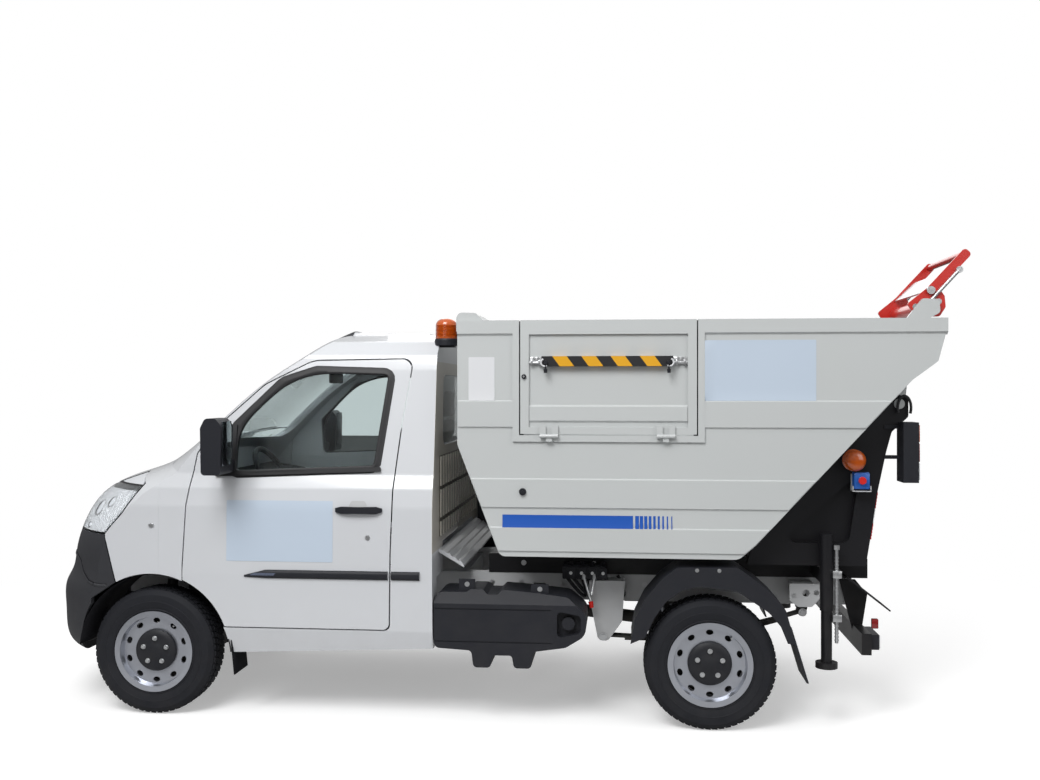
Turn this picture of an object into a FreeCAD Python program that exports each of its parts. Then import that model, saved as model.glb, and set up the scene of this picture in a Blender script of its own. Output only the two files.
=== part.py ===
import FreeCAD, Part
import Sketcher
import math
import os
from types import SimpleNamespace

# A light refuse-collection truck: short ladder-frame city truck, forward cab with a
# short nose, tipping open tub with a side loading flap, and a bin lifter at its rear rim.
# Millimetres. +Z is up, the truck faces -X, its left side is -Y. The origin is on the
# ground under the middle of the outer box.

V = FreeCAD.Vector
Y_AXIS = V(0, 1, 0)

doc = FreeCAD.newDocument("RefuseTruck")
sheet = doc.addObject("Spreadsheet::Sheet", "Sizes")

SIZES = [
    ("wheelbase", 2650, "front axle to rear axle"),
    ("front_axle_x", -1658, "front axle"),
    ("track_half", 710, "centre plane of a tyre from the middle"),
    ("tyre_radius", 304, "loaded radius of the tyre"),
    ("tyre_width", 176, "tyre section width"),
    ("tyre_bead_radius", 178, "seat of the tyre on the rim"),
    ("rim_flange_radius", 194, "rim flange"),
    ("rim_width", 150, "rim over its flanges"),
    ("rim_dish", 32, "disc face inside the outer flange"),
    ("rim_plate", 8, "thickness of the wheel's disc"),
    ("rim_hole_count", 10, "oval holes in the disc"),
    ("rim_hole_circle", 143, "middle of an oval hole from the hub"),
    ("rim_hole_long", 34, "oval hole along its circle"),
    ("rim_hole_short", 25, "oval hole across its circle"),
    ("hub_cap_radius", 100, "black cap at the wheel's middle"),
    ("disc_radius", 112, "brake disc"),
    ("body_half", 820, "half width of cab and tub"),
    ("cab_rear_x", -293, "rear wall of the cab"),
    ("cab_nose_x", -2298, "bumper's foremost point"),
    ("cab_wall", 40, "thickness of doors, roof and walls"),
    ("roof_z", 1848, "roof at its middle"),
    ("sill_z", 350, "underside of the sills"),
    ("floor_z", 700, "cab floor"),
    ("firewall_x", -1590, "cab side of the firewall"),
    ("arch_radius", 380, "front wheel arch"),
    ("door_gap", 6, "gap round a door"),
    ("door_hinge_x", -1475, "door hinge axis"),
    ("door_hinge_half", 819, "door hinge axis from the middle"),
    ("glass_thickness", 5, "window glass"),
    ("seat_gap", 0.3, "clearance of a piece from its seat"),
    ("steer_angle_top", 12.4, "lean of the steering axis, degrees"),
    ("rail_half", 390, "middle of a chassis rail from the middle"),
    ("rail_width", 55, "chassis rail flange"),
    ("rail_bottom_z", 520, "underside of the chassis rails"),
    ("rail_height", 130, "chassis rail"),
    ("rail_front_x", -2080, "front end of the chassis rails"),
    ("rail_rear_x", 1700, "rear end of the chassis rails"),
    ("subframe_height", 95, "tipper subframe"),
    ("subframe_front_x", -75, "front end of the subframe"),
    ("subframe_rear_x", 1775, "rear end of the subframe"),
    ("tub_front_x", -175, "front wall of the tub"),
    ("tub_rear_x", 2030, "rear rim of the tub"),
    ("tub_top_z", 1887, "rim of the tub"),
    ("tub_floor_z", 792, "underside of the tub"),
    ("tub_sheet", 6, "tub sheet"),
    ("tub_rib", 14, "pressed rib proud of the side"),
    ("rim_band", 64, "height of the top rail"),
    ("tip_x", 1867, "tipping axis"),
    ("tip_z", 1500, "tipping axis"),
    ("tip_pin_radius", 24, "tipping pin"),
    ("pin_clearance", 0.05, "running clearance at pins"),
    ("flap_front_x", 121, "front edge of the side flap"),
    ("flap_rear_x", 929, "rear edge of the side flap"),
    ("flap_bottom_z", 1361, "lower edge of the side flap"),
    ("flap_thickness", 26, "side flap"),
    ("flap_gap", 6, "gap round the side flap"),
    ("lifter_reach", 66, "lifter pivot behind the tub's rim"),
    ("lifter_z", 1972, "lifter pivot"),
    ("lifter_half", 300, "lifter side plate from the middle"),
    ("lifter_plate", 12, "lifter side plate thickness"),
    ("lifter_shaft_radius", 30, "lifter shaft"),
    ("jack_x", 1530, "stabiliser leg"),
    ("jack_half", 690, "stabiliser leg from the middle"),
    ("jack_tube", 60, "stabiliser sleeve, outer diameter"),
    ("jack_leg", 50, "stabiliser leg, diameter"),
    ("jack_foot", 100, "stabiliser foot, diameter"),
    ("jack_sleeve_low", 546, "lower end of the stabiliser sleeve"),
    ("jack_sleeve_top", 900, "upper end of the stabiliser sleeve"),
    ("jack_foot_z", 282, "stabiliser foot's underside, raised"),
    ("cylinder_base_x", 1200, "base pin of the tipping cylinder"),
    ("cylinder_base_z", 620, "base pin of the tipping cylinder"),
    ("cylinder_eye_x", 417, "rod eye of the tipping cylinder"),
    ("cylinder_eye_z", 700, "rod eye of the tipping cylinder"),
    ("cylinder_radius", 52, "barrel of the tipping cylinder"),
    ("cylinder_step", 8, "wall of the barrel and of each stage"),
    ("cylinder_neck", 735, "base pin to the barrel's mouth"),
    ("cylinder_ear", 56, "ear plate of the cylinder from the middle"),
    ("radiator_width", 660, "radiator"),
    ("radiator_height", 430, "radiator"),
    ("engine_setback", 613.3, "front axle to the engine's front"),
    ("engine_low_z", 385, "underside of the engine"),
    ("engine_length", 560, "engine block along the truck"),
    ("engine_width", 480, "engine block across the truck"),
    ("engine_height", 420, "engine block"),
]
for row, (alias, value, note) in enumerate(SIZES, start=1):
    sheet.set("A%d" % row, note)
    sheet.set("B%d" % row, "%g" % value)
    sheet.setAlias("B%d" % row, alias)
doc.recompute()
s = SimpleNamespace(**{alias: float(sheet.get(alias)) for alias, value, note in SIZES})

rear_axle_x = s.front_axle_x + s.wheelbase
rail_top_z = s.rail_bottom_z + s.rail_height
rail_out = s.rail_half + s.rail_width / 2
beam_out = s.rail_half + 30
subframe_top_z = rail_top_z + s.subframe_height
lifter_x = s.tub_rear_x + s.lifter_reach
parts = []


# Shape helpers: profiles in one of the three planes, pushed along the third axis

def point(plane, u, v, w):
    """The 3-D point at (u, v) of a plane's profile, w along the plane's normal."""
    return {"XZ": V(u, w, v), "XY": V(u, v, w), "YZ": V(w, u, v)}[plane]


def outline(points, plane="XZ", level=0.0):
    """A closed wire through points; a third number on a point rounds that corner."""
    flat = [point(plane, p[0], p[1], level) for p in points]
    radii = [p[2] if len(p) > 2 else 0 for p in points]
    starts, ends, arcs = [], [], []
    for i, corner in enumerate(flat):
        before, after = flat[i - 1], flat[(i + 1) % len(flat)]
        if radii[i] <= 0 or (before - corner).getAngle(corner - after) < 0.01:
            starts.append(corner)
            ends.append(corner)
            arcs.append(None)
            continue
        to_before = (before - corner).normalize()
        to_after = (after - corner).normalize()
        half = to_before.getAngle(to_after) / 2
        reach = radii[i] / math.tan(half)
        middle = (to_before + to_after).normalize()
        centre = corner + middle * (radii[i] / math.sin(half))
        starts.append(corner + to_before * reach)
        ends.append(corner + to_after * reach)
        arcs.append(centre - middle * radii[i])
    edges = []
    for i in range(len(flat)):
        if arcs[i] is not None:
            edges.append(Part.Arc(starts[i], arcs[i], ends[i]).toShape())
        leave, arrive = ends[i], starts[(i + 1) % len(flat)]
        if leave.distanceToPoint(arrive) > 1e-6:
            edges.append(Part.LineSegment(leave, arrive).toShape())
    return Part.Wire(edges)


def prism(points, plane, start, end):
    """A profile in a plane pushed along the plane's normal from start to end."""
    face = Part.Face(outline(points, plane, start))
    return face.extrude(point(plane, 0, 0, end - start))


def block(x0, x1, y0, y1, z0, z1):
    """A plain box between two corners."""
    return Part.makeBox(x1 - x0, y1 - y0, z1 - z0, V(x0, y0, z0))


def rod(start, end, radius):
    """A round bar between two points."""
    return Part.makeCylinder(radius, (end - start).Length, start, end - start)


def pipe(start, end, radius, bore):
    """A round tube between two points."""
    return rod(start, end, radius).cut(rod(start, end, bore))


def mirrored(shape):
    """The same piece on the other side of the truck."""
    return shape.mirror(V(0, 0, 0), Y_AXIS)


def pair(shape):
    """A piece and its twin on the other side, as one shape of two solids."""
    return Part.makeCompound([shape, mirrored(shape)])


def joined(shapes):
    """One solid from touching or overlapping shapes."""
    result = shapes[0].fuse(shapes[1:])
    return result.removeSplitter()


def sub_part(label, shape):
    """A document object that holds one named piece."""
    feature = doc.addObject("Part::Feature", label)
    feature.Label = label
    feature.Shape = shape
    parts.append(feature)
    return feature


def bound(kind, label, at=None, **formulas):
    """A primitive solid whose sizes and place follow the sheet's cells."""
    piece = doc.addObject("Part::" + kind, label)
    for name, formula in formulas.items():
        piece.setExpression(name, formula)
    for axis, formula in zip("xyz", at or ()):
        piece.setExpression("Placement.Base." + axis, formula)
    doc.recompute()
    return piece


def merged(label, pieces):
    """Several document solids as one named piece."""
    piece = doc.addObject("Part::MultiFuse", label)
    piece.Shapes = pieces
    doc.recompute()
    parts.append(piece)
    return piece


def sketch_on(body, name, plane):
    """An empty sketch on one of a body's own planes."""
    sketch = body.newObject("Sketcher::SketchObject", name)
    origin = [part for part in body.Origin.OriginFeatures if part.Role == plane][0]
    sketch.AttachmentSupport = [(origin, "")]
    sketch.MapMode = "FlatFace"
    return sketch


def section_sketch(body, name, corners):
    """A closed section whose corners are pairs of formulas, each bound to the sheet."""
    sketch = sketch_on(body, name, "XY_Plane")
    spots = [V(float(sheet.evalExpression(u)), float(sheet.evalExpression(v)), 0) for u, v in corners]
    count = len(spots)
    for i in range(count):
        sketch.addGeometry(Part.LineSegment(spots[i], spots[(i + 1) % count]))
    for i in range(count):
        sketch.addConstraint(Sketcher.Constraint("Coincident", i, 2, (i + 1) % count, 1))
    for i, formulas in enumerate(corners):
        sides = (("DistanceX", spots[i].x, formulas[0]), ("DistanceY", spots[i].y, formulas[1]))
        for kind, value, formula in sides:
            number = sketch.addConstraint(Sketcher.Constraint(kind, -1, 1, i, 1, value))
            sketch.setExpression("Constraints[%d]" % number, formula)
    return sketch


def turned_body(label, corners):
    """A body made by turning a section about its own Y axis."""
    body = doc.addObject("PartDesign::Body", label)
    section = section_sketch(body, label + "_section", corners)
    turn = body.newObject("PartDesign::Revolution", label + "_turned")
    turn.Profile = section
    turn.ReferenceAxis = (section, ["V_Axis"])
    turn.Angle = 360
    doc.recompute()
    return body, turn


def inset_points(points, inset):
    """A closed outline moved inwards by inset, corner by corner."""
    if inset == 0:
        return [tuple(p[:2]) for p in points]
    area = sum(points[i - 1][0] * points[i][1] - points[i][0] * points[i - 1][1]
               for i in range(len(points)))
    turn = 1 if area > 0 else -1
    moved = []
    for i, p in enumerate(points):
        a, b = points[i - 1], points[(i + 1) % len(points)]
        d1 = (p[0] - a[0], p[1] - a[1])
        d2 = (b[0] - p[0], b[1] - p[1])
        l1, l2 = math.hypot(*d1), math.hypot(*d2)
        n1 = (-turn * d1[1] / l1, turn * d1[0] / l1)
        n2 = (-turn * d2[1] / l2, turn * d2[0] / l2)
        scale = inset / (1 + n1[0] * n2[0] + n1[1] * n2[1])
        moved.append((p[0] + scale * (n1[0] + n2[0]), p[1] + scale * (n1[1] + n2[1])))
    return moved


# Cab form: side profiles that change from the middle outwards, lofted across the truck

nose = s.cab_nose_x
rear = s.cab_rear_x
CAB_MIDDLE = [
    (rear, s.sill_z), (nose + 140, 285), (nose + 20, 330), (nose, 470), (nose + 5, 600),
    (nose + 40, 665), (nose + 60, 760), (nose + 90, 870), (nose + 130, 960), (nose + 200, 1050),
    (-1983, 1115), (-1833, 1165), (-1703, 1215),
    (-1513, 1345), (-1333, 1500), (-1163, 1640), (-983, 1755),
    (-833, s.roof_z - 8), (-683, s.roof_z + 8), (-373, s.roof_z), (rear, s.roof_z - 13)]
CAB_EDGE = [
    (rear, s.sill_z), (nose + 440, 285), (nose + 330, 330), (nose + 310, 470), (nose + 315, 600),
    (nose + 340, 665), (nose + 355, 760), (nose + 390, 870), (nose + 445, 950), (nose + 540, 1035),
    (-1683, 1085), (-1613, 1120), (-1523, 1165),
    (-1423, 1290), (-1293, 1420), (-1133, 1550), (-973, 1650),
    (-813, s.roof_z - 138), (-673, s.roof_z - 113), (-373, s.roof_z - 108), (rear, s.roof_z - 118)]
CAB_SIDE = [(780, 285), (812, 430), (820, 690), (816, 1010), (803, 1095), (778, 1165),
            (694, 1660), (676, 1735), (600, 1800), (0, 1900)]
# numbers of the profile points where one smooth run ends and the next begins
CAB_RUNS = [(1, 9), (9, 12), (12, 20)]
CAB_FULLNESS = 4.0
CAB_STATIONS = [-835, -760, -640, -440, 0, 440, 640, 760, 835]


def cab_section(y, inset):
    """One side profile of the cab at distance y from the middle."""
    share = (abs(y) / 800.0) ** CAB_FULLNESS
    points = [(m[0] + share * (e[0] - m[0]), m[1] + share * (e[1] - m[1]))
              for m, e in zip(CAB_MIDDLE, CAB_EDGE)]
    points = inset_points(points, inset)
    at = [V(p[0], y, p[1]) for p in points]
    edges = [Part.LineSegment(at[0], at[1]).toShape()]
    for first, last in CAB_RUNS:
        curve = Part.BSplineCurve()
        curve.interpolate(at[first:last + 1])
        edges.append(curve.toShape())
    edges.append(Part.LineSegment(at[20], at[0]).toShape())
    return Part.Wire(edges)


def cab_front_form(inset):
    """The cab's outline from the front, through its whole length."""
    half = [(p[0], p[1]) for p in CAB_SIDE]
    ring = half + [(-y, z) for y, z in reversed(half[:-1])]
    ring = inset_points(ring, inset)
    rounding = [0, 60, 200, 120, 60, 60, 100, 60, 60]
    rounding = rounding + [0] + rounding[::-1]
    return prism([(p[0], p[1], r) for p, r in zip(ring, rounding)], "YZ", nose - 50, rear + 50)


def cab_form(inset):
    """The cab's whole outer form, moved inwards by inset."""
    loft = Part.makeLoft([cab_section(y, inset) for y in CAB_STATIONS], True, False)
    return loft.common(cab_front_form(inset))


cab_outer = cab_form(0)
cab_inner = cab_form(s.cab_wall)
cab_skin = cab_outer.cut(cab_inner)


def glass_layer():
    """The thin layer of the cab's form in which the glass lies."""
    return cab_form(12).cut(cab_form(12 + s.glass_thickness))


cab_glass_layer = glass_layer()
FAR = 1000

wheel_well = rod(V(s.front_axle_x, 455, s.tyre_radius), V(s.front_axle_x, FAR, s.tyre_radius),
                 s.arch_radius)
wheel_wells = wheel_well.fuse(mirrored(wheel_well))


# Doors: cut from the cab's skin by a side outline that narrows inwards at its rear edge

rear_slope = 0.2
door_reach = 300


def door_outline(grow, rear_lead):
    """The door's outline from the side; rear_lead moves its rear edge forward."""
    g = grow
    return [(-1501 - g, 560, 0), (-1501 - g, 700, 60), (-1483 - g, 1013, 80),
            (-1446 - g, 1260 + g / 2, 40), (-1335 - g * 0.7, 1405 + g * 0.7, 60),
            (-1130 - g * 0.7, 1590 + g * 0.7, 120), (-900, 1704 + g, 160),
            (-373 + g - rear_lead, 1712 + g, 45), (-429 + g - rear_lead, 1414, 200),
            (-475 + g - rear_lead, 1090, 200), (-487 + g - rear_lead, 800, 0),
            (-491 + g - rear_lead, 438 - g, 30), (-1330 - g, 438 - g, 0)]


def door_cutter(grow):
    """A solid through the cab's left side that a door of the outline fills."""
    outer = outline(door_outline(grow, 0), "XZ", -s.body_half - 40)
    inner = outline(door_outline(grow, rear_slope * door_reach), "XZ", -s.body_half - 40 + door_reach)
    return Part.makeLoft([outer, inner], True, True)


WINDOW = [(-1262, 1172, 25), (-578, 1200, 25), (-520, 1640, 28), (-880, 1652, 90),
          (-1040, 1600, 120), (-1262, 1383, 30)]
side_zone = block(-1700, rear, -s.body_half - 60, -540, 300, 1800)
side_layer = side_zone.cut(cab_front_form(s.cab_wall))
arch_lip = 6
arch_cut = rod(V(s.front_axle_x, -FAR, s.tyre_radius), V(s.front_axle_x, -455, s.tyre_radius),
               s.arch_radius + arch_lip)
window_hole = prism(WINDOW, "XZ", -FAR, -500)
door_solid = cab_skin.common(door_cutter(0)).common(side_layer).cut([arch_cut, window_hole])
door_solid = max(door_solid.Solids, key=lambda solid: solid.Volume)
door_glass = cab_glass_layer.common(side_zone).common(
    prism([(p[0], p[1], p[2]) for p in WINDOW], "XZ", -FAR, -500))
door_left = sub_part("door_left", door_solid)
door_right = sub_part("door_right", mirrored(door_solid))
sub_part("door_glass_left", door_glass)
sub_part("door_glass_right", mirrored(door_glass))


# Door mirrors: a housing on a short foot at the front lower corner of the window

mirror_x, mirror_z = -1273, 1305
mirror_out = -s.body_half - 150
mirror_head = prism([(-1318, 1175, 18), (-1228, 1175, 18), (-1222, 1400, 30), (-1250, 1434, 22),
                     (-1300, 1434, 22), (-1322, 1390, 20)], "XZ", mirror_out - 75, mirror_out + 75)
mirror_foot = prism([(-1330, 1172, 6), (-1262, 1172, 6), (-1262, 1236, 14), (-1312, 1236, 14)],
                    "XZ", mirror_out + 60, -730)
mirror_solid = joined([mirror_head, mirror_foot]).cut(cab_outer).cut(door_solid)
mirror_solid = max(mirror_solid.Solids, key=lambda solid: solid.Volume)
sub_part("mirror_left", mirror_solid)
sub_part("mirror_right", mirrored(mirror_solid))


# Cab shell: floor, firewall, pillars, roof and rear wall, with the door apertures cut

kingpin_low = V(s.front_axle_x, -655, 205)
lean = math.radians(s.steer_angle_top)
kingpin_axis = V(0, math.sin(lean), math.cos(lean))


def along_kingpin(distance):
    """A point on the left steering axis above its lower ball joint."""
    return kingpin_low + kingpin_axis * distance


strut_radius = 26
firewall_thickness = 30
floor_thickness = 30
seat_box_x = -1110
seat_box_z = 850
nose_back = s.firewall_x - firewall_thickness
cabin = cab_inner.common(block(s.firewall_x, rear - s.cab_wall, -FAR, FAR, s.floor_z, 2000))
seat_box = block(seat_box_x, rear - s.cab_wall, -560, 560, s.floor_z - 1, seat_box_z)
cabin = cabin.cut(seat_box)
under_cab = block(nose_back, rear + 1, -700, 700, 200, s.floor_z - floor_thickness)
engine_bay = block(seat_box_x + 30, rear + 1, -530, 530, s.floor_z - floor_thickness - 1,
                   seat_box_z - 30)
shell = cab_outer.common(block(nose_back, rear, -FAR, FAR, 200, 2000))
shell = shell.cut([cabin, under_cab, engine_bay])
aperture = door_cutter(s.door_gap).common(side_zone).cut(cab_front_form(s.cab_wall + s.door_gap))
door_swing = rod(V(s.door_hinge_x, -s.door_hinge_half, 560),
                 V(s.door_hinge_x, -s.door_hinge_half, 730), 54)
shell = shell.cut([aperture, mirrored(aperture), wheel_wells, door_swing, mirrored(door_swing)])

SCREEN = [(-640, 1280, 60), (0, 1300, 900), (640, 1280, 60), (585, 1716, 70), (-585, 1716, 70)]
screen_hole = prism(SCREEN, "YZ", nose, -700)
REAR_SCREEN = [(-520, 1290, 60), (520, 1290, 60), (500, 1640, 60), (-500, 1640, 60)]
rear_hole = prism(REAR_SCREEN, "YZ", rear - s.cab_wall - 5, rear + 5)
shell = shell.cut([screen_hole, rear_hole])

liner_thickness = 5
liner = rod(V(s.front_axle_x, 452, s.tyre_radius), V(s.front_axle_x, 760, s.tyre_radius),
            s.arch_radius + liner_thickness)
liner = liner.cut(rod(V(s.front_axle_x, 455 + liner_thickness, s.tyre_radius),
                      V(s.front_axle_x, FAR, s.tyre_radius), s.arch_radius))
liner = liner.common(block(nose_back, -1000, 440, 775, 400, 1000))
liner = liner.cut(cabin.common(block(-1500, rear, -FAR, FAR, s.floor_z, 2000)))
strut_top = pipe(along_kingpin(330), along_kingpin(500), 36, strut_radius + s.seat_gap)
shell = joined([shell, liner, mirrored(liner), strut_top, mirrored(strut_top)])
shell = max(shell.Solids, key=lambda solid: solid.Volume)

# pressed ribs of the rear wall in three rows, and the ribbed deck at its foot
rib_depth = 9
rib_half = 17
RIB_ROWS = [(seat_box_z + 6, 925), (945, 1080), (1098, 1240)]
rib_shapes = []
for rib_y in range(-600, 601, 75):
    for low, high in RIB_ROWS:
        rib_shapes.append(block(rear - 1, rear + rib_depth, rib_y - rib_half, rib_y + rib_half, low, high))
DECK = [(rear - 1, 794), (rear + 22, 790), (rear + 38, 776), (rear + 52, 776), (rear + 66, 758),
        (rear + 80, 758), (rear + 94, 740), (rear + 108, 740), (rear + 124, 718), (rear + 124, 708),
        (rear - 1, 782)]
rib_shapes.append(prism(DECK, "XZ", -640, 640))
striker_z = 930
striker = block(-500, -440, -s.body_half + 22, -s.body_half + 34, striker_z - 12, striker_z + 12)
striker = striker.common(aperture).cut(door_solid)
striker = max(striker.Solids, key=lambda a: a.Volume)
striker.translate(V(s.seat_gap, 0, 0))
shell = joined([shell, striker, mirrored(striker)] + rib_shapes)

# Front panel behind the grille and the lamps, carried by the inner wings

skin_thickness = 32
panel_gap = 6
bonnet_half = 640
bonnet_rear_x = nose_back - panel_gap
BONNET_SIDE = [(nose - 60, 991), (-2040, 991), (-2040, 1035), (bonnet_rear_x, 1100),
               (bonnet_rear_x, 1330), (nose - 60, 1330)]
hinge_x, hinge_z = -1607, 1270
hinge_pin_radius = 5
hinge_y = 300
carrier_side = block(-2060, nose_back + 1, 540, 550, 700, 1300)
grille_arm = block(nose, -2050, 330, 345, 876, 980)
carrier = joined([carrier_side, mirrored(carrier_side), grille_arm, mirrored(grille_arm),
                  block(-2060, -2050, -550, 550, 876, 1300)])
carrier = carrier.common(cab_form(skin_thickness + s.seat_gap)).cut(wheel_wells)
bonnet_room = prism(inset_points(BONNET_SIDE, -panel_gap), "XZ", -650, 650)
carrier = carrier.cut(bonnet_room.cut(cab_form(skin_thickness + panel_gap)))
pocket = block(nose_back - 1, hinge_x + 12, hinge_y - 8, hinge_y + 20, hinge_z - 40, hinge_z + 60)
hinge_pin = rod(V(hinge_x, hinge_y - 9, hinge_z), V(hinge_x, hinge_y + 21, hinge_z),
                hinge_pin_radius)
shell = joined([shell, carrier]).cut([pocket, mirrored(pocket)])
shell = joined([shell, hinge_pin, mirrored(hinge_pin)])
shell = max(shell.Solids, key=lambda solid: solid.Volume)
floor_zone = block(nose, rear + 50, -FAR, FAR, 0, s.floor_z).fuse(
    block(seat_box_x, rear - s.cab_wall, -560, 560, s.floor_z - 1, seat_box_z))
sub_part("cab_shell", shell.cut(floor_zone))
sub_part("cab_floor", shell.common(floor_zone))

screen_glass = cab_glass_layer.common(prism(SCREEN, "YZ", nose, -700))
rear_glass = prism(REAR_SCREEN, "YZ", rear - 22, rear - 22 + s.glass_thickness)
sub_part("cab_glass", Part.makeCompound([max(screen_glass.Solids, key=lambda a: a.Volume),
                                         rear_glass]))


# Nose: bumper, grille, lamps, wings and bonnet, cut from one skin so that they line up

nose_skin = cab_outer.cut(cab_form(skin_thickness))
nose_skin = nose_skin.common(block(nose - 50, nose_back - s.seat_gap, -FAR, FAR, 250, 1300))
nose_skin = nose_skin.cut(wheel_wells)
bumper_top_z = 866
BUMPER = [(nose - 60, 250), (-1960, 250), (-1960, 560), (-1838, 640), (-1896, bumper_top_z),
          (nose - 60, bumper_top_z)]
bumper_zone = prism(BUMPER, "XZ", -FAR, FAR)
bumper = nose_skin.common(bumper_zone)
intake = prism([(-430, 400, 30), (430, 400, 30), (470, 560, 30), (-470, 560, 30)], "YZ",
               nose - 60, nose + 160)
upper_intake = prism([(-300, 700, 20), (300, 700, 20), (330, 820, 20), (-330, 820, 20)], "YZ",
                     nose - 60, nose + 200)
bumper = bumper.cut([intake, upper_intake])
sub_part("front_bumper", bumper)

LAMP = [(nose - 60, bumper_top_z + panel_gap), (-1898, bumper_top_z + panel_gap, 20),
        (-1806, 975, 20), (-1722, 1108, 20), (-1790, 1150, 20), (-1960, 1094, 60),
        (nose - 60, 1010)]
lamp_side = block(nose - 60, -1650, -FAR, -400, 800, 1200)
lamp_zone = prism(LAMP, "XZ", -FAR, FAR).common(lamp_side)
lamp = nose_skin.common(lamp_zone)
sub_part("headlamps", pair(max(lamp.Solids, key=lambda a: a.Volume)))

grille_zone = block(nose - 60, -1900, -396, 396, bumper_top_z + panel_gap, 985)
grille = nose_skin.common(grille_zone)
slots = [block(nose - 60, -1900, -340, 340, z, z + 14) for z in range(892, 960, 26)]
sub_part("front_grille", grille.cut(slots))
radiator = bound("Box", "radiator", at=("Sizes.rail_front_x - 50", "-Sizes.radiator_width / 2", "420"),
                 Length="60 - Sizes.seat_gap", Width="Sizes.radiator_width",
                 Height="Sizes.radiator_height")
parts.append(radiator)

bonnet_zone = prism(BONNET_SIDE, "XZ", -bonnet_half, bonnet_half)
lamp_clear = prism([(p[0], p[1]) for p in inset_points(LAMP, -panel_gap)], "XZ", -FAR, -394)
bonnet = nose_skin.common(bonnet_zone).cut([lamp_clear, mirrored(lamp_clear)])
bonnet = max(bonnet.Solids, key=lambda a: a.Volume)
hinge_arm = prism([(hinge_x - 2, hinge_z - 10), (hinge_x + 8, hinge_z - 4, 4),
                   (hinge_x + 8, hinge_z + 8, 4), (hinge_x - 4, hinge_z + 9, 4),
                   (-1660, 1244), (-1700, 1230), (-1700, 1190)], "XZ",
                  hinge_y, hinge_y + 12)
hinge_arm = hinge_arm.common(cab_form(3).fuse(block(bonnet_rear_x, -1560, 0, 500, 1200, 1300)))
hinge_bore = rod(V(hinge_x, -500, hinge_z), V(hinge_x, 500, hinge_z), hinge_pin_radius + s.pin_clearance)
bonnet = joined([bonnet, hinge_arm, mirrored(hinge_arm)]).cut(hinge_bore)
sub_part("bonnet", max(bonnet.Solids, key=lambda a: a.Volume))

wing = nose_skin.common(block(nose, nose_back, -FAR, -400, 250, 1300))
grown = [prism([(p[0], p[1]) for p in inset_points(BUMPER, -panel_gap)], "XZ", -FAR, FAR),
         prism([(p[0], p[1]) for p in inset_points(LAMP, -panel_gap)], "XZ", -FAR, -396),
         prism([(p[0], p[1]) for p in inset_points(BONNET_SIDE, -panel_gap)], "XZ",
               -bonnet_half - panel_gap, bonnet_half)]
wing = wing.cut(grown)
sub_part("front_wings", pair(max(wing.Solids, key=lambda a: a.Volume)))


# Cab interior

dash_back = s.firewall_x + s.seat_gap
dash = prism([(dash_back, 740), (-1500, 740, 20), (-1330, 860, 40), (-1290, 1010, 40),
              (-1370, 1085, 50), (dash_back, 1120)], "XZ", -730, 730)
dash = dash.common(cab_form(s.cab_wall + 6))
wheel_centre = V(-1200, -360, 1110)
column_lean = math.radians(30)
column_axis = V(math.cos(column_lean), 0, math.sin(column_lean))
column_radius = 20
column_cover = rod(wheel_centre - column_axis * 230, wheel_centre - column_axis * 70,
                   column_radius + 18)
column_bore = rod(wheel_centre - column_axis * 191, wheel_centre - column_axis * 60,
                  column_radius + s.seat_gap)
sub_part("dashboard", joined([dash, column_cover]).cut(column_bore))

seat_shapes = []
for seat_y, seat_half in ((-360, 240), (360, 240)):
    cushion = prism([(-1050, seat_box_z + s.seat_gap), (-600, seat_box_z + s.seat_gap, 20),
                     (-560, 960, 40), (-1050, 985, 45)], "XZ", seat_y - seat_half, seat_y + seat_half)
    back = prism([(-600, 900, 20), (-480, 880, 30), (-385, 1400, 25), (-455, 1420, 25)],
                 "XZ", seat_y - seat_half, seat_y + seat_half)
    head = prism([(-440, 1400, 10), (-395, 1390, 10), (-370, 1560, 20), (-430, 1565, 20)],
                 "XZ", seat_y - 120, seat_y + 120)
    seat_shapes.append(joined([cushion, back, head]))
sub_part("seats", Part.makeCompound(seat_shapes))

grip = Part.makeTorus(170, 14, wheel_centre, column_axis)
hub = rod(wheel_centre - column_axis * 40, wheel_centre + column_axis * 6, 44)
spokes = [rod(wheel_centre, wheel_centre + side * 170, 12) for side in (
    Y_AXIS, -Y_AXIS, V(math.sin(column_lean), 0, -math.cos(column_lean)))]
column = rod(wheel_centre - column_axis * 190, wheel_centre - column_axis * 38, column_radius)
sub_part("steering_wheel", joined([grip, hub, column] + spokes))


# Chassis: two rails with crossmembers

rail_outline = [(s.rail_half - s.rail_width / 2, s.rail_bottom_z),
                (s.rail_half + s.rail_width / 2, s.rail_bottom_z),
                (s.rail_half + s.rail_width / 2, rail_top_z),
                (s.rail_half - s.rail_width / 2, rail_top_z)]
rail = prism(rail_outline, "YZ", s.rail_front_x, s.rail_rear_x)
engine_front_cross = -1075
cross_xs = [s.rail_front_x + 40, -1500, engine_front_cross, -240, 420, 1300, s.rail_rear_x - 40]
cross = [block(x - 30, x + 30, -s.rail_half, s.rail_half, s.rail_bottom_z + 15, rail_top_z - 25)
         for x in cross_xs]
outriggers = []
for x in (-1010, -420):
    outriggers.append(block(x - 30, x + 30, s.rail_half, 698, rail_top_z - 30,
                            s.floor_z - floor_thickness - s.seat_gap))
horn = block(nose, s.rail_front_x + 1, s.rail_half - 25, s.rail_half + 25,
             s.rail_bottom_z + 20, rail_top_z - 20)
outriggers.append(horn.common(cab_form(skin_thickness + s.seat_gap)))
sides = outriggers + [mirrored(a) for a in outriggers]
base_pin = V(s.cylinder_base_x, 0, s.cylinder_base_z)
ear_thickness = 18
ear_radius = 36
ear = rod(base_pin + V(0, s.cylinder_ear, 0), base_pin + V(0, s.cylinder_ear + ear_thickness, 0),
          ear_radius)
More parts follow.
